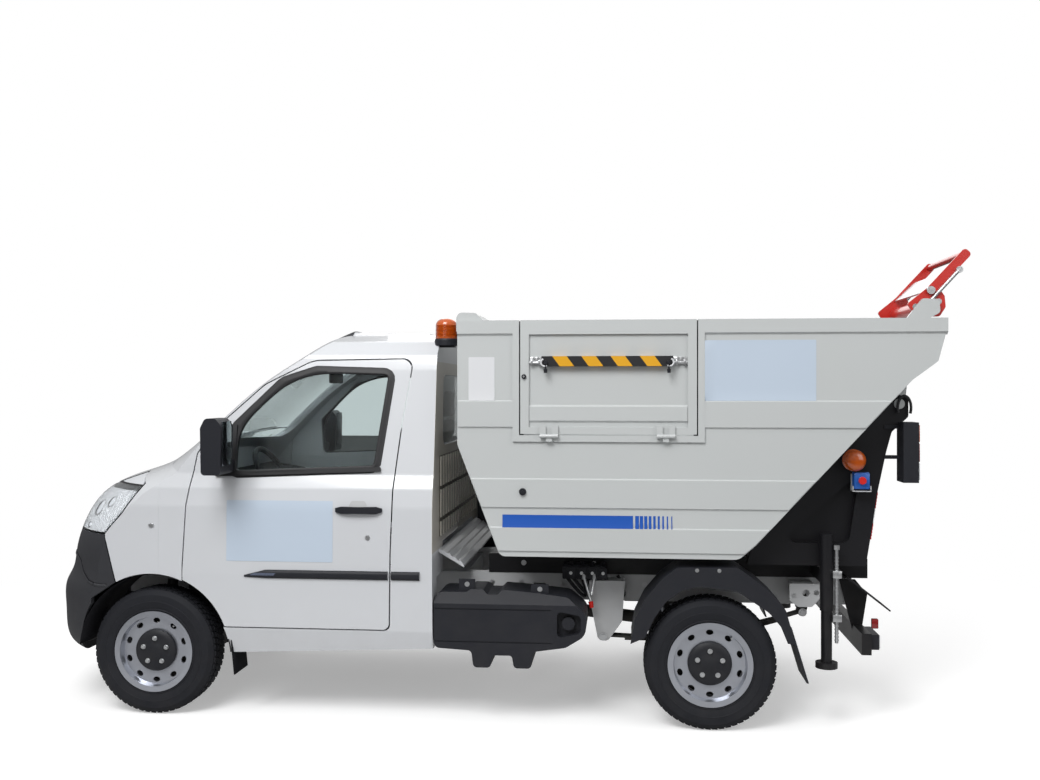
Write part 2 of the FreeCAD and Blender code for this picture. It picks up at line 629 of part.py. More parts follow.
ear_foot = block(s.cylinder_base_x - ear_radius, s.cylinder_base_x + ear_radius, s.cylinder_ear,
                 s.cylinder_ear + ear_thickness, s.rail_bottom_z + 30, s.cylinder_base_z)
cylinder_cross = block(s.cylinder_base_x - 45, s.cylinder_base_x + 45, -s.rail_half, s.rail_half,
                       s.rail_bottom_z, s.cylinder_base_z - s.cylinder_radius - 7)
pin_half = s.cylinder_ear + ear_thickness + 3
base_shaft = rod(base_pin - V(0, pin_half, 0), base_pin + V(0, pin_half, 0), s.tip_pin_radius)
ears = [ear, ear_foot, mirrored(ear), mirrored(ear_foot), base_shaft, cylinder_cross]

# spring hangers: a pointed pair of plates in front, a boss and a broad plate behind
front_eye = (498, 365)
rear_eye = (1450, 500)
shackle_top = (1445, 600)
spring_in, spring_out = 450, 510
spring_pin_radius = 12
FRONT_HANGER = [(430, 636), (430, 560, 20), (474, 345, 26), (522, 345, 26), (590, 440, 20), (604, 636)]
REAR_HANGER = [(1385, 640), (1385, 560, 20), (1425, 530, 20), (1490, 530, 20), (1530, 575, 20), (1530, 640)]
hangers = [prism(FRONT_HANGER, "XZ", spring_out + 5, spring_out + 20),
           prism(FRONT_HANGER, "XZ", spring_in - 20, spring_in - 5),
           block(440, 590, rail_out - 1, spring_out + 20, 606, 636),
           rod(V(front_eye[0], spring_in - 24, front_eye[1]), V(front_eye[0], spring_out + 24, front_eye[1]),
               spring_pin_radius),
           prism(REAR_HANGER, "XZ", spring_out + 25, spring_out + 35).cut(
               rod(V(1462, 0, 596), V(1462, FAR, 596), 17)),
           block(1400, 1500, rail_out - 1, spring_out + 35, 628, 640),
           block(1415, 1475, rail_out - 1, spring_out - 2, 600, 640),
           rod(V(shackle_top[0], spring_in + 2, shackle_top[1]),
               V(shackle_top[0], spring_out - 2, shackle_top[1]), 28)]
shackle_bore = rod(V(shackle_top[0], 0, shackle_top[1]), V(shackle_top[0], spring_out + 20, shackle_top[1]),
                   spring_pin_radius + s.pin_clearance)
hanger = joined(hangers).cut(shackle_bore)
chassis = joined([rail, mirrored(rail), hanger, mirrored(hanger)] + cross + sides + ears)
sub_part("chassis_frame", chassis)


# Tipper subframe: black beams on the rails, with the stabiliser sleeves on its outriggers

beam = block(s.subframe_front_x, s.subframe_rear_x, s.rail_half - 30, s.rail_half + 30,
             rail_top_z, subframe_top_z)
ties = [block(x - 25, x + 25, -s.rail_half, s.rail_half, rail_top_z + 10, subframe_top_z - 10)
        for x in (s.subframe_front_x + 25, s.subframe_rear_x - 25)]
half = s.jack_tube / 2
sleeve_arm = block(s.jack_x - 25, s.jack_x + 25, s.rail_half, s.jack_half - half + 6,
                   rail_top_z + 20, subframe_top_z - 10)
jack_low = V(s.jack_x, s.jack_half, s.jack_sleeve_low)
jack_top = V(s.jack_x, s.jack_half, s.jack_sleeve_top)
sleeve_bore = rod(jack_low - V(0, 0, 1), jack_top - V(0, 0, 6), s.jack_leg / 2 + s.seat_gap)
sleeves = joined([sleeve_arm, rod(jack_low, jack_top, half)]).cut(sleeve_bore)
subframe = joined([beam, mirrored(beam), sleeves, mirrored(sleeves)] + ties)
pads = [block(x - 60, x + 60, s.rail_half - 30, s.rail_half + 30, subframe_top_z - 1,
              s.tub_floor_z - s.seat_gap) for x in (100, 600, 1050)]
subframe = joined([subframe] + pads + [mirrored(a) for a in pads])
sub_part("tipper_subframe", subframe)

for side, sign in (("left", "-"), ("right", "")):
    leg = bound("Cylinder", "leg_tube_" + side,
                at=("Sizes.jack_x", sign + "Sizes.jack_half", "Sizes.jack_foot_z + 10"),
                Radius="Sizes.jack_leg / 2", Height="Sizes.jack_sleeve_top - Sizes.jack_foot_z - 20")
    foot = bound("Cylinder", "leg_foot_" + side,
                 at=("Sizes.jack_x", sign + "Sizes.jack_half", "Sizes.jack_foot_z"),
                 Radius="Sizes.jack_foot / 2", Height="26")
    merged("stabiliser_leg_" + side, [leg, foot])


# Rear tower that carries the tipping axis

tower_y = 600
tower_plate = 46
TOWER = [(1175, subframe_top_z), (1717, subframe_top_z), (1742, 902, 40), (1769, 1087, 200),
         (1809, 1277, 200), (1834, 1370, 20), (s.tip_x + 42, 1440, 20), (s.tip_x + 42, 1530, 30),
         (s.tip_x - 10, 1545, 20), (1190, 806, 10)]
tower_side = prism(TOWER, "XZ", tower_y, tower_y + tower_plate)
TOWER_WINDOW = [(1320, 850, 30), (1640, 850, 40), (1690, 1180, 30)]
tower_side = tower_side.cut(prism(TOWER_WINDOW, "XZ", tower_y + 8, tower_y + 80))
axis_left = V(s.tip_x, 500, s.tip_z)
axis_far = V(s.tip_x, 690, s.tip_z)
tower_side = tower_side.cut(rod(axis_left, axis_far, s.tip_pin_radius + s.pin_clearance))
tower_out = tower_y + tower_plate
tower_foot = block(1560, 1717, s.rail_half - 30, tower_out, subframe_top_z, subframe_top_z + 40)
tower_front_foot = block(1200, 1260, s.rail_half - 30, tower_out, subframe_top_z, subframe_top_z + 16)
cross_top = rod(V(1790, -tower_y - 1, 1330), V(1790, tower_y + 1, 1330), 38)
cross_low = block(1690, 1732, -tower_y - 1, tower_y + 1, 850, 895)
tower = joined([tower_side, tower_foot, tower_front_foot, mirrored(tower_side), mirrored(tower_foot),
                mirrored(tower_front_foot), cross_top, cross_low])
sub_part("rear_tower", tower)


# Tub: one bent sheet from the front wall over the floor to the rear wall, two sides

def tub_profile(inset):
    """The tub's side profile moved inwards by inset on its closed sides."""
    i = inset
    return [(s.tub_front_x + i, s.tub_top_z), (s.tub_front_x + i, 1310, 40),
            (25 + i * 0.8, s.tub_floor_z + i, 40), (1118 - i * 0.5, s.tub_floor_z + i, 60),
            (1194 - i * 0.8, 857 + i * 0.7, 60), (1884 - i * 0.8, 1609 + i * 0.7, 60),
            (1996 - i * 0.9, 1693 + i * 0.6, 20), (s.tub_rear_x - i, 1822, 20),
            (s.tub_rear_x - i - 6, s.tub_top_z)]


tub_half = s.body_half - s.tub_rib
wrap = prism(tub_profile(0), "XZ", -tub_half, tub_half)
hollow = tub_profile(s.tub_sheet)[:-1] + [(s.tub_rear_x - s.tub_sheet - 6, s.tub_top_z + 1)]
wrap = wrap.cut(prism(hollow, "XZ", -tub_half - 1, tub_half + 1))
hood_height = 40
front_rail = prism([(s.tub_front_x - 6, s.tub_top_z - 50), (s.tub_front_x - 6, s.tub_top_z + hood_height, 30),
                    (s.tub_front_x + 85, s.tub_top_z + hood_height - 4, 20),
                    (s.tub_front_x + 122, s.tub_top_z, 6), (s.tub_front_x + 60, s.tub_top_z - 50)],
                   "XZ", -tub_half, tub_half)
rear_rail = block(s.tub_rear_x - 46, s.tub_rear_x - 6, -tub_half, tub_half,
                  s.tub_top_z - s.rim_band, s.tub_top_z)
pin_lugs = []
for sign in (-1, 1):
    lug = prism([(s.tip_x - 66, 1500, 0), (s.tip_x - 30, 1455, 30), (s.tip_x + 38, 1460, 30),
                 (s.tip_x + 60, 1650), (s.tip_x - 20, 1600)], "XZ", 540, 580)
    lug = lug.cut(prism(tub_profile(1)[:-1] + [(s.tub_rear_x - 7, s.tub_top_z + 1)], "XZ", 500, 700))
    shaft = rod(V(s.tip_x, 535, s.tip_z), V(s.tip_x, tower_out + 8, s.tip_z), s.tip_pin_radius)
    lug = joined([lug, shaft])
    pin_lugs.append(lug if sign > 0 else mirrored(lug))
eye = V(s.cylinder_eye_x, 0, s.cylinder_eye_z)
eye_x, eye_low_z = s.cylinder_eye_x, s.cylinder_eye_z - 32
eye_ear = prism([(eye_x - 60, s.tub_floor_z + 1), (eye_x - 35, eye_low_z, 30),
                 (eye_x + 35, eye_low_z, 30), (eye_x + 60, s.tub_floor_z + 1)],
                "XZ", s.cylinder_ear, s.cylinder_ear + 14)
post_in = s.lifter_half + s.lifter_plate + 8
lifter_post = prism([(s.tub_rear_x - 80, s.tub_top_z - 10), (s.tub_rear_x - 10, s.tub_top_z - 10),
                     (lifter_x + 45, s.lifter_z - 27, 20), (lifter_x + 40, s.lifter_z + 38, 20),
                     (lifter_x - 40, s.lifter_z + 42, 20)], "XZ", post_in, post_in + 20)
lifter_axis = V(lifter_x, 0, s.lifter_z)
shaft_half = s.lifter_half + 40
lifter_shaft = rod(lifter_axis - Y_AXIS * shaft_half, lifter_axis + Y_AXIS * shaft_half,
                   s.lifter_shaft_radius)
wrap = joined([wrap, front_rail, rear_rail] + pin_lugs + [eye_ear, mirrored(eye_ear),
              lifter_post, mirrored(lifter_post), lifter_shaft])
sub_part("tub_wrap", wrap)


def tub_side(has_flap):
    """The left side of the tub with its pressed ribs, top rail and, on one side, a doorway."""
    panel = prism(tub_profile(0), "XZ", -tub_half - s.tub_sheet, -tub_half)
    ribs = []
    for low, high in ((820, 925), (1022, 1150), (1394, 1511)):
        rib = prism([(tub_half, low - 10), (tub_half, high + 10), (tub_half + s.tub_rib, high),
                     (tub_half + s.tub_rib, low)], "YZ", s.tub_front_x, s.tub_rear_x)
        rib = mirrored(rib).common(prism(tub_profile(4), "XZ", -FAR, 0))
        ribs.append(rib)
    rail = prism([(tub_half, s.tub_top_z), (s.body_half + 2, s.tub_top_z), (s.body_half + 2, 1826),
                  (tub_half, 1812)], "YZ", s.tub_front_x, s.tub_rear_x + 6)
    ribs.append(mirrored(rail))
    side = joined([panel] + ribs)
    if not has_flap:
        return side
    frame_width = 30
    frame = block(s.flap_front_x - s.flap_gap - frame_width, s.flap_rear_x + s.flap_gap + frame_width,
                  -s.body_half - 2, -tub_half, s.flap_bottom_z - s.flap_gap - frame_width, s.tub_top_z)
    doorway = block(s.flap_front_x - s.flap_gap, s.flap_rear_x + s.flap_gap, -FAR, -tub_half + 30,
                    s.flap_bottom_z - s.flap_gap, s.tub_top_z + 1)
    return joined([side, frame]).cut(doorway)


flap_hinge = V(0, -s.body_half - 16, s.flap_bottom_z - 9)
flap_knuckle = 9


def knuckles_of_flap(start, end, low, high, back):
    """A hinge knuckle along the flap's axis with its leaf."""
    barrel = rod(V(start, flap_hinge.y, flap_hinge.z), V(end, flap_hinge.y, flap_hinge.z), flap_knuckle)
    leaf = block(start, end, flap_hinge.y, back, low, high)
    return [barrel, leaf]


tub_knuckles, flap_knuckles = [], []
for x in (255, 789):
    tub_knuckles += knuckles_of_flap(x - 14, x + 14, flap_hinge.z - 26, flap_hinge.z, -s.body_half - 1)
    for low, high in ((x - 42, x - 14.3), (x + 14.3, x + 42)):
        flap_knuckles += knuckles_of_flap(low, high, flap_hinge.z, flap_hinge.z + 50, -s.body_half - 3)
sub_part("tub_side_left", joined([tub_side(True)] + tub_knuckles))
sub_part("tub_side_right", mirrored(tub_side(False)))

flap_face = -s.body_half - 4
flap = block(s.flap_front_x, s.flap_rear_x, flap_face, flap_face + s.flap_thickness,
             s.flap_bottom_z, s.tub_top_z)
flap = flap.cut(block(s.flap_front_x + 40, s.flap_rear_x - 40, flap_face - 1, flap_face + 12,
                      s.flap_bottom_z + 32, s.tub_top_z - 66))
hazard_bar = block(s.flap_front_x + 100, s.flap_rear_x - 108, flap_face - 20, flap_face + 14, 1673, 1719)
flap = joined([flap, hazard_bar] + flap_knuckles)
sub_part("side_flap", flap)


# Bin lifter: two side plates with arms, a cross beam and a comb

def strap(start, end, width, rounding):
    """The outline of a flat bar between two points of a side view, with rounded ends."""
    length = math.hypot(end[0] - start[0], end[1] - start[1])
    along = ((end[0] - start[0]) / length, (end[1] - start[1]) / length)
    across = (-along[1] * width / 2, along[0] * width / 2)
    return [(start[0] - across[0], start[1] - across[1], rounding),
            (end[0] - across[0], end[1] - across[1], rounding),
            (end[0] + across[0], end[1] + across[1], rounding),
            (start[0] + across[0], start[1] + across[1], rounding)]


LIFTER_HUB = [(-106, 18, 14), (25, 125, 10), (73, 55, 14), (78, 0, 20), (49, -46, 16), (-66, -46, 20)]
lifter_hub = [(lifter_x + p[0], s.lifter_z + p[1], p[2]) for p in LIFTER_HUB]
arm_root = (lifter_x + 4, s.lifter_z + 78)
arm_tip = (lifter_x + 186, s.lifter_z + 276)
lifter_out = s.lifter_half + s.lifter_plate
lifter_side = joined([prism(lifter_hub, "XZ", -lifter_out, -s.lifter_half),
                      prism(strap(arm_root, arm_tip, 46, 18), "XZ", -lifter_out, -s.lifter_half)])
lifter_side = lifter_side.cut(rod(lifter_axis - Y_AXIS * FAR, lifter_axis + Y_AXIS * FAR,
                                  s.lifter_shaft_radius + s.pin_clearance))
lifter_tube = pipe(lifter_axis - Y_AXIS * s.lifter_half, lifter_axis + Y_AXIS * s.lifter_half,
                   s.lifter_shaft_radius + 12, s.lifter_shaft_radius + s.pin_clearance)
bar_centre = V(lifter_x + 172, 0, s.lifter_z + 262)
tip_bar = rod(bar_centre - Y_AXIS * (s.lifter_half + 1), bar_centre + Y_AXIS * (s.lifter_half + 1), 16)
lifter = joined([lifter_side, mirrored(lifter_side), lifter_tube, tip_bar])
sub_part("lifter_frame", lifter)
COMB = [(-16, 80), (-10, 74), (90, 172), (84, 178)]
comb_half = s.lifter_half - s.seat_gap
comb_plate = prism([(lifter_x + p[0], s.lifter_z + p[1]) for p in COMB], "XZ", -comb_half, comb_half)
sub_part("lifter_comb", comb_plate)


# Tipping cylinder: barrel on the subframe's pin, rod towards the tub's floor

push = (eye - base_pin).normalize()
barrel_eye_half = s.cylinder_ear - 3


def telescope(radius, start, end):
    """One tube of the cylinder with room in it for the next stage."""
    tube = rod(base_pin + push * start, base_pin + push * end, radius)
    bore = rod(base_pin + push * (start + 10), base_pin + push * (end + 1),
               radius - s.cylinder_step + s.pin_clearance)
    return tube.cut(bore)


barrel_eye = rod(base_pin - V(0, barrel_eye_half, 0), base_pin + V(0, barrel_eye_half, 0),
                 s.cylinder_radius)
barrel = joined([telescope(s.cylinder_radius, s.tip_pin_radius + 12, s.cylinder_neck), barrel_eye])
pin_bore = rod(base_pin - V(0, 90, 0), base_pin + V(0, 90, 0), s.tip_pin_radius + s.pin_clearance)
stage_room = rod(base_pin + push * (s.tip_pin_radius + 22), base_pin + push * (s.cylinder_neck + 1),
                 s.cylinder_radius - s.cylinder_step + s.pin_clearance)
sub_part("tip_barrel", barrel.cut([pin_bore, stage_room]))
stage_start = s.tip_pin_radius + 24
sub_part("tip_stage_lower", telescope(s.cylinder_radius - s.cylinder_step, stage_start,
                                      s.cylinder_neck + 6))
sub_part("tip_stage_upper", telescope(s.cylinder_radius - 2 * s.cylinder_step, stage_start + 12,
                                      s.cylinder_neck + 12))
rod_eye = rod(eye - V(0, 38, 0), eye + V(0, 38, 0), 32)
tip_rod = rod(base_pin + push * (stage_start + 24), eye, s.cylinder_radius - 3 * s.cylinder_step)
sub_part("tip_rod", joined([tip_rod, rod_eye]))


# Running gear

hub_face_y = -(s.track_half + s.rim_width / 2 - s.rim_dish)
strut_low = rod(along_kingpin(150), along_kingpin(420), strut_radius)
upright = prism([(-600, 215, 8), (-672, 225, 10), (-690, 380, 20), (-640, 400, 10)], "YZ",
                s.front_axle_x - 40, s.front_axle_x + 40)
hub_axis = V(s.front_axle_x, 0, s.tyre_radius)
stub = rod(hub_axis + V(0, -650, 0), hub_axis + V(0, hub_face_y + s.rim_plate + 0.3, 0), 42)
brake = rod(hub_axis + V(0, -678, 0), hub_axis + V(0, -700, 0), s.disc_radius)
steer_arm = rod(V(s.front_axle_x, -640, 260), V(s.front_axle_x + 130, -610, 250), 14)
lower_boss = rod(along_kingpin(4 + s.seat_gap), along_kingpin(34), 20)
knuckle = joined([strut_low, upright, stub, brake, steer_arm, lower_boss])
sub_part("knuckle_left", knuckle)
sub_part("knuckle_right", mirrored(knuckle))

arm = prism([(s.front_axle_x - 150, -300, 20), (s.front_axle_x + 150, -300, 20),
             (s.front_axle_x + 30, -674, 25), (s.front_axle_x - 30, -674, 25)], "XY", 168, 186)
ball = rod(along_kingpin(-20), along_kingpin(4), 16)
crossmember = block(s.front_axle_x - 90, s.front_axle_x + 90, -rail_out, rail_out, 180, 250)
towers = [block(s.front_axle_x - 60, s.front_axle_x + 60, y - 27, y + 27, 240, s.rail_bottom_z)
          for y in (-s.rail_half, s.rail_half)]
front_suspension = joined([crossmember, arm, mirrored(arm), ball, mirrored(ball)] + towers)
sub_part("front_suspension", front_suspension)

axle_z = s.tyre_radius
axle_tube = rod(V(rear_axle_x, -640, axle_z), V(rear_axle_x, 640, axle_z), 38)
differential = Part.makeSphere(135, V(rear_axle_x, 0, axle_z))
drum = rod(V(rear_axle_x, -625, axle_z), V(rear_axle_x, -735, axle_z), 110)
hub = rod(V(rear_axle_x, -730, axle_z), V(rear_axle_x, hub_face_y + s.rim_plate + s.seat_gap, axle_z), 90)
rear_axle = joined([axle_tube, differential, drum, mirrored(drum), hub, mirrored(hub)])
sub_part("rear_axle", rear_axle)

leaf_thickness = 10
leaf_rise, leaf_bend = 0.1498, 2.213e-4


def leaf(front, back, level):
    """One leaf of a spring: a strip that follows the spring's curve between two places."""
    steps = [front + (back - front) * step / 8.0 for step in range(9)]
    heights = [level + leaf_rise * (x - rear_axle_x) + leaf_bend * (x - rear_axle_x) ** 2 for x in steps]
    low = [(x, z) for x, z in zip(steps, heights)]
    high = [(x, z + leaf_thickness) for x, z in zip(steps, heights)]
    return prism(low + high[::-1], "XZ", spring_in, spring_out)


def eye_pin(place, half_reach, radius):
    """A round bar across the middle of the spring at a place of the side view."""
    middle = V(place[0], (spring_in + spring_out) / 2, place[1])
    return rod(middle - Y_AXIS * half_reach, middle + Y_AXIS * half_reach, radius)


leaf_top = 380
leaves = [leaf(front_eye[0] + 12, rear_eye[0] - 12, leaf_top)]
for number, reach in enumerate((390, 270, 150), start=1):
    leaves.append(leaf(rear_axle_x - reach, rear_axle_x + reach, leaf_top - leaf_thickness * number))
seat_block = block(rear_axle_x - 50, rear_axle_x + 50, spring_in, spring_out, axle_z + 20, leaf_top - 24)
clamp = block(rear_axle_x - 50, rear_axle_x + 50, spring_in - 6, spring_out + 6, leaf_top - 20, leaf_top + 20)
eyes = [eye_pin(front_eye, 28, 22), eye_pin(rear_eye, 28, 22)]
spring = joined(leaves + [seat_block, clamp] + eyes)
spring = spring.cut(eye_pin(front_eye, 100, spring_pin_radius + s.pin_clearance))
link = strap(rear_eye, shackle_top, 46, 22)
link_out = prism(link, "XZ", spring_out + 1, spring_out + 11)
link_in = prism(link, "XZ", spring_in - 11, spring_in - 1)
pins = [eye_pin(rear_eye, 45, spring_pin_radius), eye_pin(shackle_top, 45, spring_pin_radius)]
spring = joined([spring, link_out, link_in] + pins).cut(rear_axle)
sub_part("leaf_springs", pair(spring))


# Wheels: bodies turned from sections that are bound to the sheet

bead = "Sizes.tyre_bead_radius"
flange = "Sizes.rim_flange_radius"
outer = "Sizes.tyre_radius"
half_width = "Sizes.tyre_width / 2"
seat_half = "Sizes.tyre_width / 2 - 14"
disc_face = "Sizes.rim_width / 2 - Sizes.rim_dish"
cap_edge = "Sizes.hub_cap_radius"
TYRE_SECTION = [
    (bead, "-(%s)" % seat_half), (flange + " + 3", "-(%s)" % seat_half), (outer + " - 50", "-" + half_width),
    (outer, "30 - " + half_width), (outer, half_width + " - 30"), (outer + " - 50", half_width),
    (flange + " + 3", seat_half), (bead, seat_half)]
RIM_SECTION = [
    (bead + " - 10", "-(%s)" % seat_half), (bead + " - Sizes.seat_gap", "-(%s)" % seat_half),
    (bead + " - Sizes.seat_gap", seat_half), (flange, seat_half + " + Sizes.seat_gap"),
    (flange, seat_half + " + 8"), (bead + " - 10", seat_half + " + 8"), (bead + " - 16", disc_face + " + 2"),
    (cap_edge, disc_face + " - 2"), (cap_edge + " - 2", disc_face + " + 12"),
    (cap_edge + " - 30", disc_face + " + 20"), ("0", disc_face + " + 20"),
    ("0", disc_face + " - Sizes.rim_plate"), (cap_edge + " + 10", disc_face + " - Sizes.rim_plate"),
    (bead + " - 14", disc_face + " - Sizes.rim_plate - 4")]
shoulder_round = 22


def wheel_place(body, axle_x, side):
    """Put a wheel's body on its axle by formulas; side is a sign as text."""
    body.setExpression("Placement.Base.x", axle_x)
    body.setExpression("Placement.Base.y", side + "Sizes.track_half")
    body.setExpression("Placement.Base.z", "Sizes.tyre_radius")
    parts.append(body)


def tyre_body(label):
    """A tyre: its turned section with rounded shoulders."""
    body, turn = turned_body(label, TYRE_SECTION)
    rounds = body.newObject("PartDesign::Fillet", label + "_shoulders")
    rounds.Base = (turn, ["Edge%d" % number for number, edge in enumerate(turn.Shape.Edges, 1)
                          if hasattr(edge.Curve, "Radius") and edge.Curve.Radius > s.tyre_radius - 51])
    rounds.Radius = shoulder_round
    return body


def rim_body(label, faces_left):
    """A steel wheel: barrel, dished disc with a cap, and a ring of oval holes."""
    body, turn = turned_body(label, RIM_SECTION)
    sketch = sketch_on(body, label + "_hole", "XZ_Plane")
    oval = Part.Ellipse(V(0, s.rim_hole_circle, 0), s.rim_hole_long / 2, s.rim_hole_short / 2)
    sketch.addGeometry(oval)
    sketch.addConstraint(Sketcher.Constraint("DistanceX", -1, 1, 0, 3, 0))
    number = sketch.addConstraint(Sketcher.Constraint("DistanceY", -1, 1, 0, 3, s.rim_hole_circle))
    sketch.setExpression("Constraints[%d]" % number, "Sizes.rim_hole_circle")
    hole = body.newObject("PartDesign::Pocket", label + "_pocket")
    hole.Profile = sketch
    hole.Type = 1
    hole.SideType = "Symmetric"
    ring = body.newObject("PartDesign::PolarPattern", label + "_holes")
    ring.Originals = [hole]
    ring.Axis = (sketch, ["N_Axis"])
    ring.Angle = 360
    ring.setExpression("Occurrences", "Sizes.rim_hole_count")
    body.Tip = ring
    if faces_left:
        body.Placement = FreeCAD.Placement(V(0, 0, 0), FreeCAD.Rotation(V(0, 0, 1), 180))
    return body


for where, axle_x in (("front", "Sizes.front_axle_x"), ("rear", "Sizes.front_axle_x + Sizes.wheelbase")):
    for side, sign in (("left", "-"), ("right", "")):
        wheel_place(tyre_body("tyre_%s_%s" % (where, side)), axle_x, sign)
        wheel_place(rim_body("rim_%s_%s" % (where, side), side == "left"), axle_x, sign)


# Engine, exhaust and what hangs between the axles

engine = bound("Box", "engine_block", at=("Sizes.front_axle_x + Sizes.engine_setback",
                                          "-Sizes.engine_width / 2", "Sizes.engine_low_z"),
               Length="Sizes.engine_length", Width="Sizes.engine_width", Height="Sizes.engine_height")
parts.append(engine)

engine_back = s.front_axle_x + s.engine_setback + s.engine_length + s.seat_gap
engine_zone = block(-1100, engine_back, -400, 400, 300, 900)
prop = rod(V(engine_back - 20, 0, 472), V(rear_axle_x - 100, 0, 330), 32).cut([rear_axle, engine_zone])
exhaust_y, exhaust_z = 250, 440
pipe_radius, muffler_radius = 24, 75
muffler = rod(V(-150, exhaust_y, exhaust_z), V(330, exhaust_y, exhaust_z), muffler_radius)
tailpipe = rod(V(330, exhaust_y, exhaust_z), V(700, exhaust_y, exhaust_z), pipe_radius)
downpipe = rod(V(engine_back, exhaust_y - 50, exhaust_z), V(-150, exhaust_y, exhaust_z), pipe_radius)
exhaust_strap = block(410, 430, exhaust_y - 7, exhaust_y + 7, exhaust_z + pipe_radius + s.seat_gap,
                      s.rail_bottom_z + 15 - s.seat_gap)
sub_part("drive_shaft", prop)
exhaust = joined([muffler, tailpipe, downpipe]).cut(engine_zone)
sub_part("exhaust", Part.makeCompound([exhaust, exhaust_strap]))

tank_out, tank_in = -s.body_half + 10, -545
TANK = [(-287, 360, 30), (-110, 350, 20), (-100, 272, 20), (-20, 272, 20), (-10, 330, 15), (80, 330, 15),
        (90, 272, 20), (170, 272, 20), (180, 350, 20), (330, 372, 60), (424, 430, 60), (424, 530, 60),
        (340, 600, 60), (130, 620, 30), (30, 626, 10), (10, 606, 10), (-40, 606, 10), (-60, 626, 10),
        (-120, 626, 10), (-140, 614, 10), (-287, 614, 40)]
tank = prism(TANK, "XZ", tank_out, tank_in)
tank = tank.cut([prism([(tank_out - 1, 566), (tank_out + 64, 640), (tank_out - 1, 640)], "YZ", -300, 440),
                 block(-300, 262, tank_out - 1, tank_out + 4, 388, 394),
                 block(-300, 262, tank_out - 1, tank_out + 4, 540, 546),
                 prism([(290, 415, 20), (400, 440, 20), (400, 520, 20), (290, 540, 20)], "XZ",
                       tank_out - 1, tank_out + 45)])
filler_cap = rod(V(342, tank_out + 20, 480), V(342, tank_out + 46, 480), 30)
tank_tabs = [block(-177, -100, tank_out + 62, tank_out + 70, 590, 672),
             block(164, 247, tank_out + 62, tank_out + 70, 590, 652)]
tank_arms = [block(x, x + 60, tank_in - 1, -rail_out, 560, 600) for x in (-120, 150)]
sub_part("side_tanks", pair(joined([tank, filler_cap] + tank_tabs + tank_arms)))

GUARD_OUT = [(628, 400), (649, 515, 60), (694, 608, 60), (771, 700, 60), (840, 752, 40), (1112, 756, 40),
             (1212, 688, 80), (1274, 632, 80), (1327, 570, 60), (1371, 413)]
GUARD_IN = [(1336, 417), (1305, 493, 60), (1252, 555, 80), (1180, 603, 80), (1114, 647, 60),
            (939, 667, 60), (866, 650, 40), (790, 596, 60), (735, 517, 60), (694, 429)]
guard_flange = prism(GUARD_OUT + GUARD_IN, "XZ", -s.body_half, -s.body_half + 8)
guard_core = prism(inset_points([(p[0], p[1]) for p in GUARD_OUT], 8), "XZ", -s.body_half - 1, -584)
guard_mouth = block(600, 1400, -s.body_half - 1, -584, 380, 425)
guard_skin = prism(GUARD_OUT, "XZ", -s.body_half, -585).cut([guard_core, guard_mouth])
guard = joined([guard_skin, guard_flange])
mudflap = prism([(1344, 490), (1353, 490), (1429, 240), (1419, 240)], "XZ", -s.body_half, -590)
guard_arm = block(960, 1000, -600, -beam_out, 690, 740).fuse(block(960, 1000, -600, -575, 690, 754))
guard = joined([guard, mudflap, guard_arm])
sub_part("rear_mudguards", pair(guard))


# Rear underrun bar with its lamps, upper lamps, beacons and the control boxes

under_arm = prism([(1640, 645), (1715, 645), (1772, 575), (1745, 400), (1700, 400)], "XZ",
                  rail_out, rail_out + 12)
under_plate = prism([(1632, 686), (1637, 692), (1832, 540), (1828, 534)], "XZ", rail_out + 11, 640)
under_bar = block(1700, 1745, -640, 640, 330, 430)
sub_part("rear_underrun", joined([under_bar, under_arm, mirrored(under_arm), under_plate,
                                  mirrored(under_plate)]))

lower_lamp = block(1745.3, 1785, -615, -435, 350, 420)
upper_lamp = block(1868, 1937, -720, -600, 1140, 1416)
lamp_stubs = [block(1800, 1869, -652, -622, z, z + 16) for z in (1245, 1385)]
upper_lamp = joined([upper_lamp] + lamp_stubs).cut(tower)
upper_lamp = max(upper_lamp.Solids, key=lambda a: a.Volume)
sub_part("tail_lamps", Part.makeCompound([lower_lamp, mirrored(lower_lamp), upper_lamp,
                                          mirrored(upper_lamp)]))

beacon_x, beacon_y, beacon_z = -262, -590, 1780
beacon_shelf = block(rear, beacon_x + 40, beacon_y - 30, beacon_y + 30, beacon_z - 8, beacon_z + 1)
beacon_base = V(beacon_x, beacon_y, beacon_z)
beacon = joined([beacon_shelf, rod(beacon_base, beacon_base + V(0, 0, 30), 59),
                 rod(beacon_base + V(0, 0, 29), beacon_base + V(0, 0, 135), 54)]).cut(shell)
beacon = max(beacon.Solids, key=lambda a: a.Volume)
side_beacon = rod(V(1655, -tower_out, 1240), V(1655, -tower_out - 90, 1240), 40)
sub_part("beacons", Part.makeCompound([beacon, side_beacon]))
stop_box = block(1650, 1725, -tower_out - 60, -tower_out, 1105, 1185)
valves = block(290, 520, -560, -beam_out, 640, 712)
sub_part("control_boxes", Part.makeCompound([stop_box, valves]))


# Check every object, then write each piece to its own file

doc.recompute()
os.makedirs("parts", exist_ok=True)
for feature in doc.Objects:
    if "Invalid" in feature.State or "Error" in feature.State:
        raise RuntimeError("failed object: " + feature.Label)
bad = [feature.Label for feature in parts if feature.Shape.isNull() or not feature.Shape.isValid()]
if bad:
    raise RuntimeError("bad shapes: " + ", ".join(bad))
for feature in parts:
    feature.Shape.exportStep("parts/%s.step" % feature.Label)
    print(feature.Label, len(feature.Shape.Solids), "%.5f" % (feature.Shape.Volume / 1e9))
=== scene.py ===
import bmesh
import bpy
import math
from collections import Counter
from mathutils import Matrix, Vector
from mathutils.bvhtree import BVHTree


